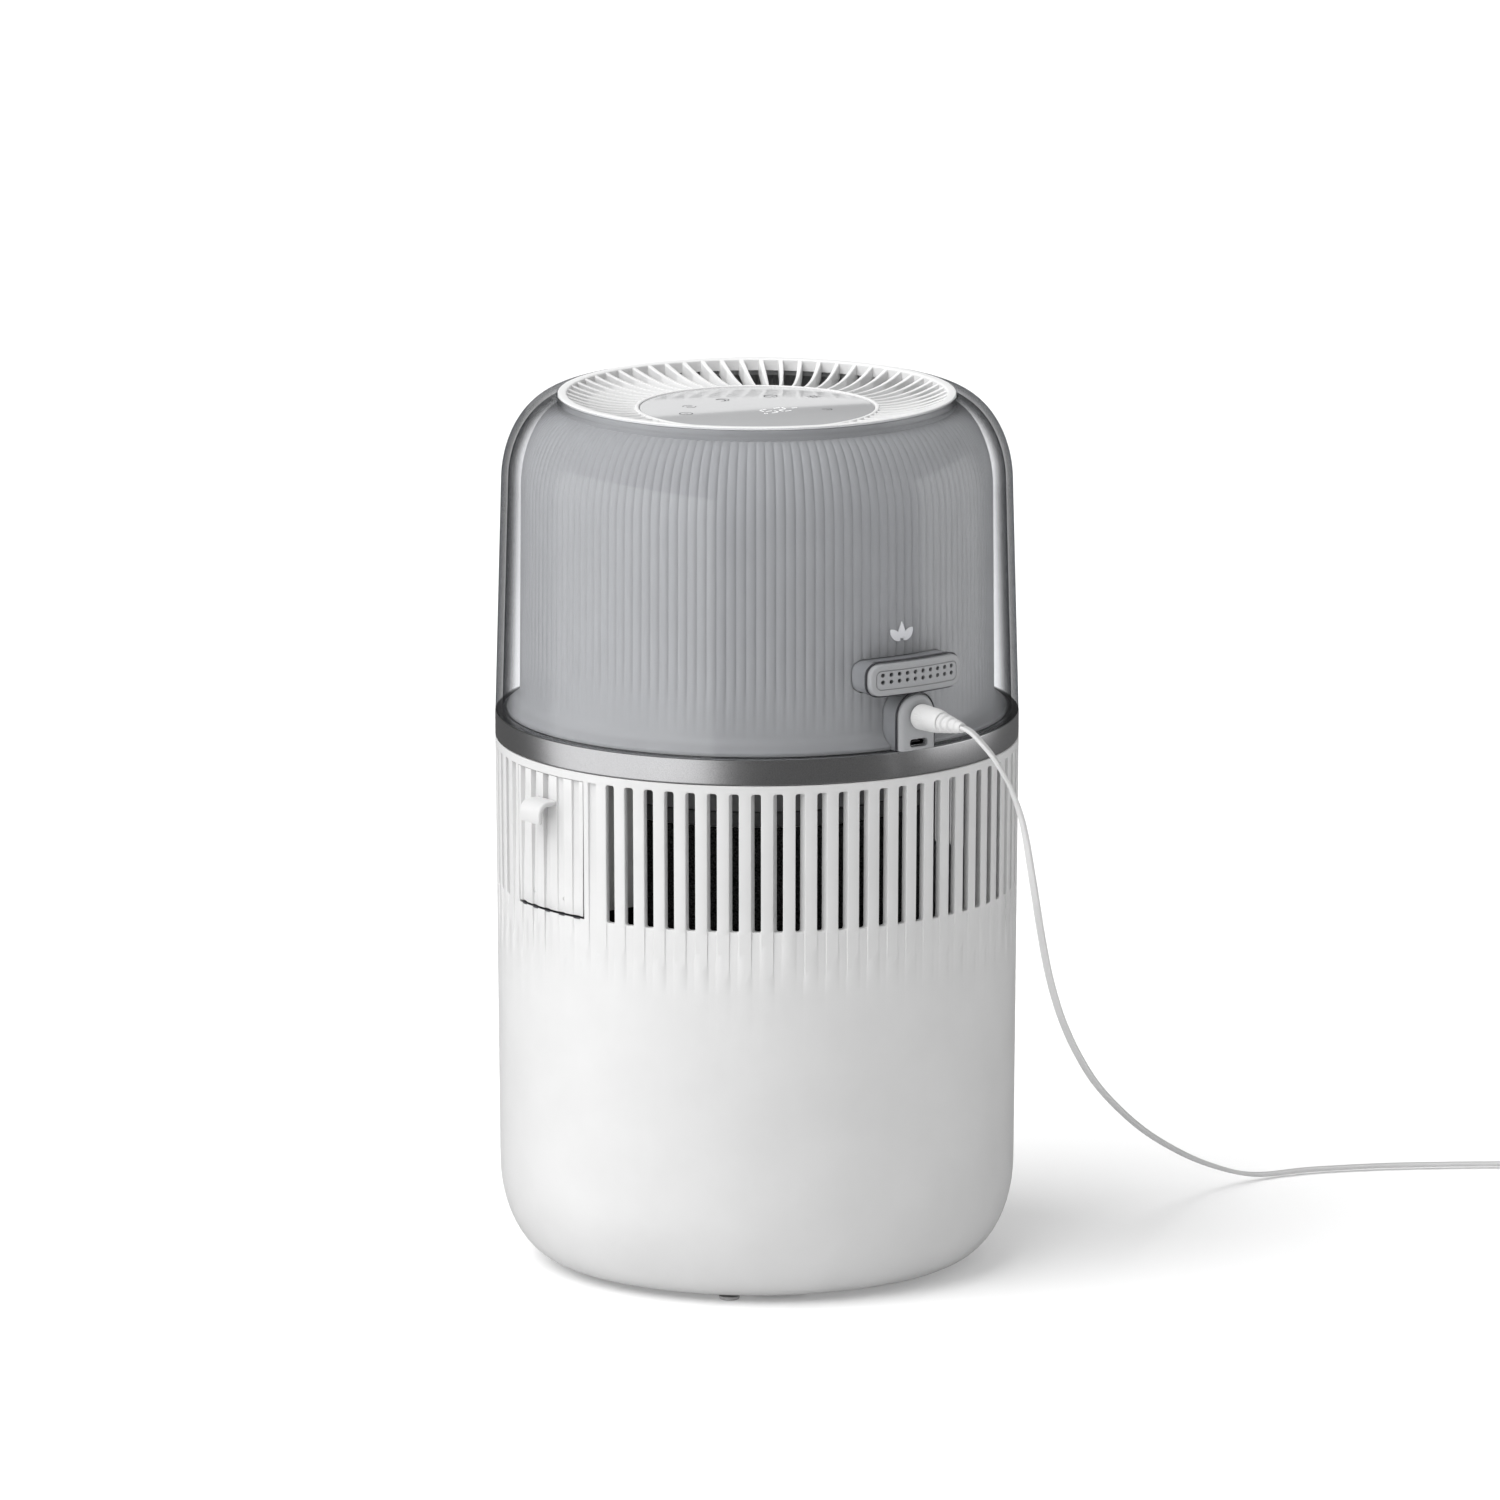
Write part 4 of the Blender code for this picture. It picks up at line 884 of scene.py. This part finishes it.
def disc_icons():
    """Touch symbols in an arc and a small display, read from the front (-Y)."""
    line = 0.00042
    height = DISC_Z + 0.00003
    shapes = {
        "timer": [ribbon(arc_points(0.0022, 0, 345), line, True),
                  ribbon([(0, 0.0012), (0, 0), (0.0009, 0)], line)],
        "speed": [ribbon(arc_points(0.0022, 30, 150), line), ribbon(arc_points(0.0022, 210, 330), line),
                  ribbon([(-0.0014, 0), (0.0014, 0)], line)],
        "sleep": [ribbon(arc_points(0.0022, 40, 320), line),
                  ribbon(arc_points(0.0017, 60, 300, 24, (0.0009, 0)), line)],
        "power": [ribbon(arc_points(0.0022, 120, 420), line), ribbon([(0, 0.0026), (0, 0.0006)], line)],
        "light": [ribbon(arc_points(0.0011, 0, 345), line, True)] + [
            ribbon([(0.0016 * math.cos(a), 0.0016 * math.sin(a)),
                    (0.0024 * math.cos(a), 0.0024 * math.sin(a))], line)
            for a in [math.tau * k / 8 for k in range(8)]],
        "lock": [ribbon([(-0.0014, -0.0014), (0.0014, -0.0014), (0.0014, 0.0006), (-0.0014, 0.0006)],
                        line, True),
                 ribbon(arc_points(0.0010, 0, 180, 16, (0, 0.0006)), line)],
    }
    places = {"timer": (-0.0303, 0.0151), "speed": (-0.0290, -0.0020), "sleep": (-0.0148, -0.0176),
              "power": (0.0058, -0.0269), "light": (0.0243, -0.0259), "lock": (0.0303, 0.0044)}
    parts = []
    for name, (right, near) in places.items():
        spot = RIGHT * right + NEAR * near
        parts.append(moved(joined(*shapes[name]),
                           Matrix.Translation((spot.x, spot.y, height)) @ Matrix.Scale(1.25, 4)))
    icons = piece("touch_symbols", *joined(*parts), ICON_DARK, "housing", (), "control_gloss")
    icons.visible_shadow = False
    middle = RIGHT * 0.008 + NEAR * 0.007
    shown = []
    for k, segments in enumerate(("abdeg", "acdfg")):
        spot = Matrix.Translation((middle.x - 0.0036 + 0.0072 * k, middle.y, height))
        shown.append(moved(digit(segments), spot))
    unit = moved(ribbon(arc_points(0.0007, 0, 345, 12), 0.0003, True),
                 Matrix.Translation((middle.x + 0.0078, middle.y + 0.0034, height)))
    mode = moved(ribbon([(-0.0015, 0), (0.0015, 0)], 0.0005),
                 Matrix.Translation((middle.x - 0.0100, middle.y, height)))
    digits = piece("display_digits", *joined(*shown, unit, mode), ICON_LIGHT, "housing", (), "control_gloss")
    digits.visible_shadow = False


def control_disc():
    low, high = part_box("control_disc")
    profile = fillet([(0, low.z, 0), (HUB_R, low.z, 0.0003), (HUB_R, high.z, 0.0003), (0, high.z, 0)])
    piece("control_glass", *lathe(profile, 192), GLOSS, "housing", ["control_disc"], "control_gloss")
    disc_icons()


# Drawer, jack and symbol ------------------------------------------------------------------------
def tray_face():
    """Curved drawer front: rounded edge, a fine panel line and two rows of scent holes."""
    edge = 0.0009
    rings = [on_cylinder(drawer_outline(0.0), BARREL_FACE_R)]
    for k in range(5):
        lean = math.pi / 2 * k / 4
        rings.append(on_cylinder(drawer_outline(edge * (1 - math.cos(lean))),
                                 REAR_R - edge * (1 - math.sin(lean))))
    for inset, depth in ((0.0026, 0.0), (0.00265, 0.00045), (0.00290, 0.00045), (0.00295, 0.0)):
        rings.append(on_cylinder(drawer_outline(inset), REAR_R - depth))
    verts, faces = loops(rings, filled=False)
    count = len(rings[0])
    for ring_index in (0, len(rings) - 1):
        base = ring_index * count
        for i in range(count // 2 - 1):
            faces.append([base + i, base + i + 1, base + count - 2 - i, base + count - 1 - i])
    face = piece("drawer_front", verts, faces, GREY, "drawer", ["tray_face"], "grey_plastic")
    pitch = 0.00407
    holes = []
    for row_z in (DRAWER_Z + 0.0022, DRAWER_Z - 0.0008):
        for i in range(10):
            angle = math.pi / 2 + (i - 4.5) * pitch / REAR_R
            turn = Matrix.Rotation(angle - math.pi / 2, 4, "Z") @ TO_Y
            holes.append(moved(lathe([(0, -0.004), (0.00095, -0.004), (0.00095, 0.002), (0, 0.002)], 16),
                               Matrix.Translation(polar(REAR_R, angle, row_z)) @ turn))
    cut(face, joined(*holes))


def scent_pad():
    """Soft felt pad in the tray."""
    low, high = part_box("aroma_pad")
    inside = Vector((0.0002, 0.0002, 0.0002))
    verts, faces = boxed(low + inside, high - inside, 0.0012, 4)
    pad = piece("felt_pad", verts, faces, FELT, "drawer", ["aroma_pad"], "felt")
    work = bmesh.new()
    work.from_mesh(pad.data)
    bmesh.ops.subdivide_edges(work, edges=[e for e in work.edges if e.calc_length() > 0.003], cuts=8,
                              use_grid_fill=True)
    for vert in work.verts:
        ripple = noise.noise(vert.co * 400) * 0.00025
        crown = 1 - ((vert.co.x - (low.x + high.x) / 2) / (high.x - low.x) * 2) ** 2
        vert.co.z += min(ripple + 0.0002 * crown, 0.0002) if vert.co.z > (low.z + high.z) / 2 else 0.0
        vert.co.z = min(vert.co.z, high.z)
    work.to_mesh(pad.data)
    work.free()
    smooth(pad, 60)


def jack_housing():
    low_z = RING_Z[1] + GAP
    edge = 0.0026
    rings = [on_cylinder(tombstone(JACK_HALF, low_z), BARREL_FACE_R)]
    for k in range(8):
        lean = math.pi / 2 * k / 7
        outline = tombstone(JACK_HALF - edge * (1 - math.cos(lean)), low_z)
        rings.append(on_cylinder(outline, REAR_R - 0.0001 - edge * (1 - math.sin(lean))))
    housing = piece("jack_bump", *loops(rings), GREY, "housing", ["jack_housing"], "grey_plastic")
    usb = fillet([(-0.0047, USB_Z - 0.0018, 0.0017), (0.0047, USB_Z - 0.0018, 0.0017),
                  (0.0047, USB_Z + 0.0018, 0.0017), (-0.0047, USB_Z + 0.0018, 0.0017)], 6, closed=True)
    cut(housing, prism(usb, 0.095, 0.125))
    bore = moved(lathe([(0, 0), (0.0034, 0), (0.0034, 0.030), (0, 0.030)], 32),
                 Matrix.Translation((0, 0.095, JACK_Z)) @ TO_Y)
    cut(housing, bore)
    tongue = boxed((-0.0032, 0.1002, USB_Z - 0.00035), (0.0032, 0.1105, USB_Z + 0.00035), 0.0002, 2)
    piece("usb_tongue", *tongue, DARK, "housing", (), "dark_plastic")


def opening_lines():
    """Dark bands painted as the shade in the gaps round the drawer and the jack where they come through the
    dome.
    """
    margins = (OPENING_MARGIN, 2 * OPENING_MARGIN)
    back_r, front_r = GAP_SHADE_R
    parts = []
    for inner, outer in ([drawer_outline(0.0, margin) for margin in margins],
                         [tombstone(JACK_HALF + margin, RING_Z[1] + GAP) for margin in margins]):
        rings = [on_cylinder(inner, back_r), on_cylinder(inner, front_r), on_cylinder(outer, front_r),
                 on_cylinder(outer, back_r)]
        parts.append(loops(rings + rings[:1], filled=False))
    # the dark bands are painted shade in the gaps round the openings
    piece("opening_seals", *joined(*parts), DARK, "housing", (), "dark_plastic", merge=TINY)


def scent_symbol():
    """Two leaves and a drop printed on the barrel over the drawer."""
    middle_z = 0.2884
    leaf = 0.0043
    outline = arc_points(leaf, -55, 55, 10, (-leaf * math.cos(math.radians(55)), 0))
    outline += arc_points(leaf, 125, 235, 10, (leaf * math.cos(math.radians(55)), 0))
    drop = [(0.0, 0.0052)] + arc_points(0.0020, 25, -205, 22)
    shapes = []
    for shape, turn, shift in ((outline, 42, (-0.0034, 0.0004)), (outline, -42, (0.0034, 0.0004)),
                               (drop, 0, (0.0, 0.0008))):
        spin = math.radians(turn)
        spots = [(x * math.cos(spin) - y * math.sin(spin) + shift[0],
                  x * math.sin(spin) + y * math.cos(spin) + shift[1]) for x, y in shape]
        front = [Vector((x, math.sqrt(0.1022 ** 2 - x * x), middle_z + z)) for x, z in spots]
        back = [Vector((v.x, v.y - 0.0006, v.z)) for v in front]
        shapes.append(loops([back, front]))
    piece("scent_symbol", *joined(*shapes), SYMBOL, "housing", (), "white_inside")


# Door -------------------------------------------------------------------------------------------
def sensor_door():
    """Curved panel with five fading grooves, a hinge barrel and pockets for the lugs."""
    clearance = 0.00035 / BODY_R
    offsets = slot_offsets()
    columns = []
    for index in (-2, -1, 0, 1, 2):
        for across in offsets[:-1] if index < 2 else offsets:
            angle = PITCH * index + across / BODY_R
            columns.append((min(max(angle, clearance - DOOR_HALF), DOOR_HALF - clearance), index, across))
    heights = [DOOR_Z[0], DOOR_Z[0] + 0.0003] + [
        DOOR_Z[0] + (DOOR_Z[1] - DOOR_Z[0]) * k / 10 for k in range(1, 10)]
    heights += [DOOR_Z[1] - 0.0003, DOOR_Z[1]]
    rings = []
    for angle, index, across in columns:
        outer = []
        inner = []
        for height in heights:
            edge = 0.0002 if height in (heights[0], heights[-1]) else 0.0
            depth = groove_depth(across, height, PITCH * index % math.tau)
            low = height < 0.176
            widest = (DOOR_HALF - 0.0008 / BODY_R) if low else DOOR_HALF
            outer.append(polar(side_radius(height) - depth - edge, max(min(angle, widest), -widest), height))
            thick = 0.0017 + 0.0025 * min(max((height - 0.180) / 0.010, 0.0), 1.0)
            inner.append(polar(side_radius(height) - thick, angle * (0.93 if low else 1.0), height))
        rings.append(outer + inner[::-1])
    door = piece("door_panel", *loops(rings), WHITE, "door", ["sensor_door"], "white_shell")
    along_pin = Matrix.Translation(HINGE) @ TO_Y
    for side in (-1, 1):
        near, far = sorted((side * 0.0087, side * 0.0127))
        pocket = lathe([(0, near), (0.0019, near), (0.0019, far), (0, far)], 32)
        cut(door, moved(pocket, along_pin))
    knuckle = fillet([(0.0011, -0.0085, 0), (0.0018, -0.0085, 0.0003), (0.0018, 0.0085, 0.0003),
                      (0.0011, 0.0085, 0)], 3, closed=True)
    barrel = moved(lathe(knuckle, 32, closed=True), along_pin)
    piece("door_knuckle", *barrel, WHITE, "door", (), "white_shell")


def door_sill():
    """Dark strip painted as the shade in the gap on the sill under the door, and the two lugs that hold its
    pin.
    """
    rings = []
    for k in range(25):
        angle = -DOOR_HALF + 0.002 + (2 * DOOR_HALF - 0.004) * k / 24
        outer = side_radius(SLOT_Z[0]) - 0.0003
        low, high = SLOT_Z[0] - 0.0004, SLOT_Z[0] + 0.00015
        rings.append([polar(outer, angle, low), polar(outer, angle, high), polar(outer - 0.0027, angle, high),
                      polar(outer - 0.0027, angle, low)])
    # dark strip painted as the shade in the gap under the door
    piece("door_sill", *loops(rings), DARK, "housing", (), "dark_plastic")
    along_pin = Matrix.Translation(HINGE) @ TO_Y
    parts = []
    for side in (-1, 1):
        near, far = sorted((side * 0.0092, side * 0.0122))
        eye = fillet([(0.0010, near, 0), (0.0017, near, 0.0002), (0.0017, far, 0.0002),
                      (0.0010, far, 0)], 3, closed=True)
        parts.append(moved(lathe(eye, 32, closed=True), along_pin))
        parts.append(boxed((0.1012, near, HINGE.z - 0.0002), (HINGE.x - 0.0012, far, HINGE.z + 0.0014),
                           0.0003, 2))
    piece("door_lugs", *joined(*parts), WHITE, "housing", (), "white_shell")


def door_pull():
    """Hooked finger pull with rounded ends."""
    low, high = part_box("door_pull")
    reach, root = high.x, low.x - 0.0004
    top, bottom = high.z, low.z
    bend = 0.0052
    lip = 0.0021
    half = (high.y - low.y) / 2
    steps = 10

    def hook(grow):
        """Outline of the hook's section, taken in by grow."""
        points = [(root, top - grow)]
        for k in range(steps + 1):
            angle = math.pi / 2 * (1 - k / steps)
            points.append((reach - bend + (bend - grow) * math.cos(angle),
                           top - bend + (bend - grow) * math.sin(angle)))
        for k in range(5):
            angle = -math.pi * k / 4
            points.append((reach - lip / 2 + (lip / 2 - grow) * math.cos(angle),
                           bottom + lip / 2 + (lip / 2 - grow) * math.sin(angle)))
        for k in range(steps + 1):
            angle = math.pi / 2 * k / steps
            points.append((reach - bend + (bend - lip + grow) * math.cos(angle),
                           top - bend + (bend - lip + grow) * math.sin(angle)))
        points.append((root, top - lip + grow))
        return points

    rings = []
    edge = 0.0007
    stations = [(-half, edge), (-half + 0.15 * edge, 0.5 * edge), (-half + 0.5 * edge, 0.15 * edge),
                (-half + edge, 0.0)]
    stations += [(half * k / 4, 0.0) for k in range(-3, 4)]
    stations += [(-y, grow) for y, grow in reversed(stations[:4])]
    for y, grow in stations:
        rings.append([Vector((x, y, z)) for x, z in hook(grow)])
    piece("finger_pull", *loops(rings), WHITE, "door", ["door_pull"], "white_shell")


# Power lead -------------------------------------------------------------------------------------
def smooth_line(points, per_step=8):
    """Catmull-Rom curve through the points."""
    route = [Vector(p) for p in points]
    route = [route[0] * 2 - route[1]] + route + [route[-1] * 2 - route[-2]]
    fine = []
    for p0, p1, p2, p3 in zip(route, route[1:], route[2:], route[3:]):
        for i in range(per_step):
            t = i / per_step
            fine.append(0.5 * (2 * p1 + (p2 - p0) * t + (2 * p0 - 5 * p1 + 4 * p2 - p3) * t * t
                               + (3 * p1 - p0 - 3 * p2 + p3) * t * t * t))
    return fine + [route[-2]]


def coil_points():
    """Three turns inwards on the floor, a climbing one, then three back out on top of them."""
    inner_r, outer_r = COIL_R
    low_z, high_z = COIL_LAYER_Z
    start = math.atan2(NEAR.y, NEAR.x)
    pitch = (outer_r - inner_r) / 3
    per_turn = 28
    points = []
    for k in range(7 * per_turn + 1):
        turns = k / per_turn
        radius = outer_r - pitch * turns if turns < 3 else inner_r + pitch * max(turns - 4, 0.0)
        climb = min(max((turns - 3.45) / 0.5, 0.0), 1.0)
        height = low_z + (high_z - low_z) * climb * climb * (3 - 2 * climb)
        points.append(COIL_CENTRE + polar(radius, start + math.tau * turns, height))
    return points


def lead_path():
    coil = coil_points()
    out = [ADAPTER_START - RIGHT * 0.0075 + Vector((0, 0, 0.0009)), ADAPTER_START]
    return smooth_line([LEAD_EXIT + Vector((0, 0.0002, 0))] + LEAD_ROUTE, 6)[:-1] + smooth_line(
        [Vector(LEAD_ROUTE[-1])] + coil[:1], 3)[:-1] + coil + smooth_line([coil[-1]] + out, 4)[1:]


def lead_section(steps=14):
    """Two round lobes side by side, as (across, up)."""
    half_y = LEAD_THICKNESS / 2
    lobe_x = LEAD_WIDTH / 2 - half_y
    points = []
    for k in range(steps):
        angle = math.tau * (k + 0.5) / steps
        x, y = math.cos(angle), math.sin(angle)
        waist = 0.62 + 0.38 * min(abs(x) / 0.45, 1.0)
        points.append((x * half_y + math.copysign(lobe_x, x), y * half_y * waist))
    return points


def power_lead():
    path = []
    for point in lead_path():
        if not path or (point - path[-1]).length > 0.0007:
            path.append(point)
    tangents = [(path[min(i + 1, len(path) - 1)] - path[max(i - 1, 0)]).normalized()
                for i in range(len(path))]
    sides = []
    for along in tangents:
        level = Vector((along.y, -along.x, 0))
        side = level.normalized() if level.length > 0.05 else (sides[-1] if sides else Vector((1, 0, 0)))
        if sides and side.dot(sides[-1]) < 0:
            side = -side
        sides.append(side)
    for _ in range(6):
        sides = [(sides[max(i - 1, 0)] + sides[i] * 2 + sides[min(i + 1, len(sides) - 1)]).normalized()
                 for i in range(len(sides))]
    section = lead_section()
    rings = []
    for point, along, side in zip(path, tangents, sides):
        flat = (side - along * side.dot(along)).normalized()
        up = flat.cross(along)
        rings.append([point + flat * x + up * y for x, y in section])
    lead = piece("lead", *loops(rings), LEAD_WHITE, "housing", ["power_lead", "lead_coil"], "lead_white",
                 sharp=70)
    return lead, path


def plug():
    """DC plug with a finely ribbed grip, and its stepped relief."""
    low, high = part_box("dc_plug")
    start, end = low.y, high.y
    to_y = Matrix.Translation((0, start, JACK_Z)) @ TO_Y
    profile = fillet([(0, 0, 0), (0.0051, 0, 0.0005), (0.0055, 0.0010, 0.0006), (0.0055, 0.0020, 0),
                      (0.00545, 0.0040, 0), (0.0054, 0.0060, 0), (0.0053, 0.0075, 0), (0.0053, 0.0085, 0),
                      (0.0052, 0.0115, 0.002), (0.0045, end - start, 0.0006), (0, end - start, 0)], 5)

    def ribbed(radius, height, angle):
        band = min(max((height - 0.0012) / 0.0008, 0.0), 1.0) * min(max((0.0088 - height) / 0.0012, 0.0), 1.0)
        return radius - 0.00016 * band * (0.5 - 0.5 * math.cos(42 * angle))

    shell = piece("plug_shell", *moved(lathe(profile, 168, shape=ribbed), to_y), LEAD_WHITE, "housing",
                  ["dc_plug"], "lead_white")
    low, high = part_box("plug_relief")
    length = high.y - low.y
    relief_in = Matrix.Translation((0, low.y, JACK_Z - 0.0002)) @ TO_Y
    profile = fillet([(0, 0, 0), (0.0042, 0, 0.0003), (0.0041, 0.0022, 0.0005), (0.0031, 0.0027, 0.0002),
                      (0.0031, 0.0034, 0.0002), (0.0037, 0.0039, 0.0004), (0.0035, 0.0060, 0.0005),
                      (0.0026, 0.0065, 0.0002), (0.0026, 0.0071, 0.0002), (0.0031, 0.0076, 0.0004),
                      (0.0029, 0.0098, 0.0004), (0.0023, 0.0103, 0.0002), (0.0022, length, 0.0004),
                      (0, length, 0)], 4)
    taper = piece("plug_rings", *moved(lathe(profile, 64), relief_in), LEAD_WHITE, "housing", ["plug_relief"],
                  "lead_white")
    return [shell, taper]


def coil_tie():
    """Strap round one side of the coil, with its edges drawn in a little."""
    low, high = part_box("lead_coil")
    radius = (high.x - low.x) / 2
    inner_r = 0.0138
    turn = math.radians(233)
    half = 0.0030
    gap = 0.0003
    thick = 0.0008
    section = []
    for grow in (gap + thick, gap):
        section.append(fillet([(inner_r - grow, low.z - grow, 0.002), (radius + grow, low.z - grow, 0.002),
                               (radius + grow, high.z + grow, 0.002), (inner_r - grow, high.z + grow, 0.002)],
                              6, closed=True))
    rings = []
    for loop, place_at, pull_in in ((section[0], -half, 0.0002), (section[0], -half + 0.0003, 0.0),
                                    (section[0], half - 0.0003, 0.0), (section[0], half, 0.0002),
                                    (section[1], half, 0.0), (section[1], -half, 0.0)):
        ring = []
        for x, z in loop:
            middle = (inner_r + radius) / 2
            x += math.copysign(pull_in, middle - x)
            ring.append(COIL_CENTRE + polar(x, turn, z) + polar(place_at, turn + math.pi / 2))
        rings.append(ring)
    rings.append(rings[0])
    verts, faces = loops(rings, filled=False)
    return piece("tie_strap", verts, faces, DARK, "housing", ["coil_tie"], "dark_plastic", merge=TINY)


def adapter():
    """Wall adapter beside the coil: split case, tapered relief and two flat pins."""
    length, width, height = 0.0440, 0.0280, 0.0260
    start = 0.0123
    low = GAP - ADAPTER_START.z
    turn = Matrix.Translation(ADAPTER_START) @ Matrix.Rotation(math.atan2(RIGHT.y, RIGHT.x), 4, "Z")
    seam = start + length * 0.62
    front = boxed((start, -width / 2, low), (seam, width / 2, low + height), 0.0024, 5)
    back = boxed((seam + 0.0001, -width / 2, low), (start + length, width / 2, low + height), 0.0024, 5)
    lip = boxed((seam - 0.003, 0.0004 - width / 2, low + 0.0004),
                (seam + 0.003, width / 2 - 0.0004, low + height - 0.0004), 0.0018, 4)
    case = piece("adapter_case", *moved(joined(front, back, lip), turn), LEAD_WHITE, "housing",
                 ["adapter_body"], "lead_white")
    profile = [(0, 0, 0), (0.0024, 0, 0.0004)]
    for k in range(4):
        at = 0.0016 + 0.0026 * k
        radius = 0.0025 + 0.0003 * k
        profile += [(radius, at, 0.0003), (radius - 0.0005, at + 0.0005, 0.0002),
                    (radius - 0.0005, at + 0.0010, 0.0002), (radius + 0.0001, at + 0.0014, 0.0003)]
    profile += [(0.0036, 0.0118, 0.0003), (0, 0.0118, 0)]
    along = turn @ Matrix.Rotation(math.pi / 2, 4, "Y")
    boot = piece("adapter_boot", *moved(lathe(fillet(profile, 3), 48), along), LEAD_WHITE, "housing",
                 ["adapter_relief"], "lead_white")
    pieces = [case, boot]
    pin_z = low + height / 2
    for name, side in (("adapter_pin_left", -1), ("adapter_pin_right", 1)):
        middle = side * 0.00635
        pin = boxed((start + length + GAP, middle - 0.00075, pin_z - 0.0032),
                    (start + length + 0.0163, middle + 0.00075, pin_z + 0.0032), 0.0005, 3)
        pieces.append(piece(name + "_blade", *moved(pin, turn), STEEL, "housing", [name], "steel"))
    return pieces


def cord():
    on_it = plug() + [coil_tie()] + adapter() + [frame["nodes"]["plug_contact"]]
    lead, path = power_lead()


# Finishes of the CAD nodes that stay ------------------------------------------------------------
def finish_nodes():
    finishes = {
        PAPER: ["filter_media"], FOAM: ["filter_seal", "cover_seal"], BOARD: ["display_board", "main_board"],
        INSIDE: ["sensor_bay", "hub_cup", "diffuser", "fan_deck", "impeller", "aroma_tray"],
        STEEL: ["motor_can", "motor_screw_1", "motor_screw_2", "motor_screw_3", "door_hinge_pin",
                "impeller_nut", "motor_shaft", "plug_contact", "usb_socket"],
        DARK: ["dc_jack", "aroma_dock", "sensor_module"],
    }
    for look, names in finishes.items():
        for name in names:
            node = frame["nodes"][name]
            node.data.materials.clear()
            node.data.materials.append(look)


# Studio -----------------------------------------------------------------------------------------
def floor():
    size = 40.0
    mesh = bpy.data.meshes.new("floor")
    corners = [(-size, -size, 0), (size, -size, 0), (size, size, 0), (-size, size, 0)]
    mesh.from_pydata(corners, [], [[0, 1, 2, 3]])
    ground = bpy.data.objects.new("floor", mesh)
    bpy.context.scene.collection.objects.link(ground)
    look = bpy.data.materials.new("floor_white")
    look.use_nodes = True
    tree = look.node_tree
    shader = tree.nodes["Principled BSDF"]
    shader.inputs["Base Color"].default_value = (0.80, 0.80, 0.80, 1)
    shader.inputs["Roughness"].default_value = 1.0
    shader.inputs["Specular IOR Level"].default_value = 0.0
    shader.inputs["Emission Color"].default_value = (1, 1, 1, 1)
    shader.inputs["Emission Strength"].default_value = 0.18
    mesh.materials.append(look)
    ground.visible_glossy = False


def world():
    made = bpy.data.worlds.new("studio")
    bpy.context.scene.world = made
    made.use_nodes = True
    tree = made.node_tree
    back = tree.nodes["Background"]
    back.inputs["Color"].default_value = (1, 1, 1, 1)
    path = tree.nodes.new("ShaderNodeLightPath")
    spread(tree, path.outputs["Is Camera Ray"], 0.12, 1.0, back.inputs["Strength"])


def place(side, near, height):
    """A spot given across the picture, level towards the camera, and up."""
    return RIGHT * side + NEAR * near + Vector((0, 0, height))


def aimed(name, data, spot, aim, roll=0.0):
    lamp = bpy.data.objects.new(name, data)
    lamp.location = spot
    lamp.rotation_mode = "QUATERNION"
    turn = (aim - spot).to_track_quat("-Z", "Y").to_matrix() @ Matrix.Rotation(roll, 3, "Z")
    lamp.rotation_quaternion = turn.to_quaternion()
    lamp.visible_camera = False
    bpy.context.scene.collection.objects.link(lamp)


def soft_box(name, spot, aim, size, radiance, roll=0.0):
    data = bpy.data.lights.new(name, "AREA")
    data.shape = "RECTANGLE"
    data.size, data.size_y = size
    data.energy = radiance * math.pi * size[0] * size[1]
    aimed(name, data, spot, aim, roll)


def far_light(name, spot, strength, spread_angle):
    data = bpy.data.lights.new(name, "SUN")
    data.energy = strength
    data.angle = math.radians(spread_angle)
    aimed(name, data, spot, Vector((0, 0, 0)))
    bpy.data.objects[name].visible_glossy = False


def around(azimuth, distance, height):
    """A spot at an azimuth from the camera's direction, negative to the left of the picture."""
    angle = math.radians(azimuth)
    return place(distance * math.sin(angle), distance * math.cos(angle), height)


def lights():
    far_light("key", around(-56, 1.0, 1.4), 2.9, 60)
    far_light("overhead", place(0, 0, 2.0), 1.15, 120)
    soft_box("left_wall", around(-60, 1.3, 0.10), Vector((0, 0, 0.10)), (2.3, 1.30), 1.1)
    soft_box("right_wall", around(97, 1.3, 0.40), Vector((0, 0, 0.40)), (1.0, 0.70), 1.1)
    soft_box("disc_glow", place(-0.16, -1.5, 0.48), place(0, 0, 0.372), (0.5, 0.5), 0.8, math.radians(38))


def studio():
    floor()
    world()
    lights()
    bpy.context.scene.view_settings.view_transform = "Standard"


camera()
cord()
base_housing()
feet()
filter_cover()
filter_rings()
trim_ring()
clear_dome()
inner_barrel()
outlet_grille()
control_disc()
tray_face()
scent_pad()
jack_housing()
opening_lines()
scent_symbol()
sensor_door()
door_sill()
door_pull()
finish_nodes()
studio()
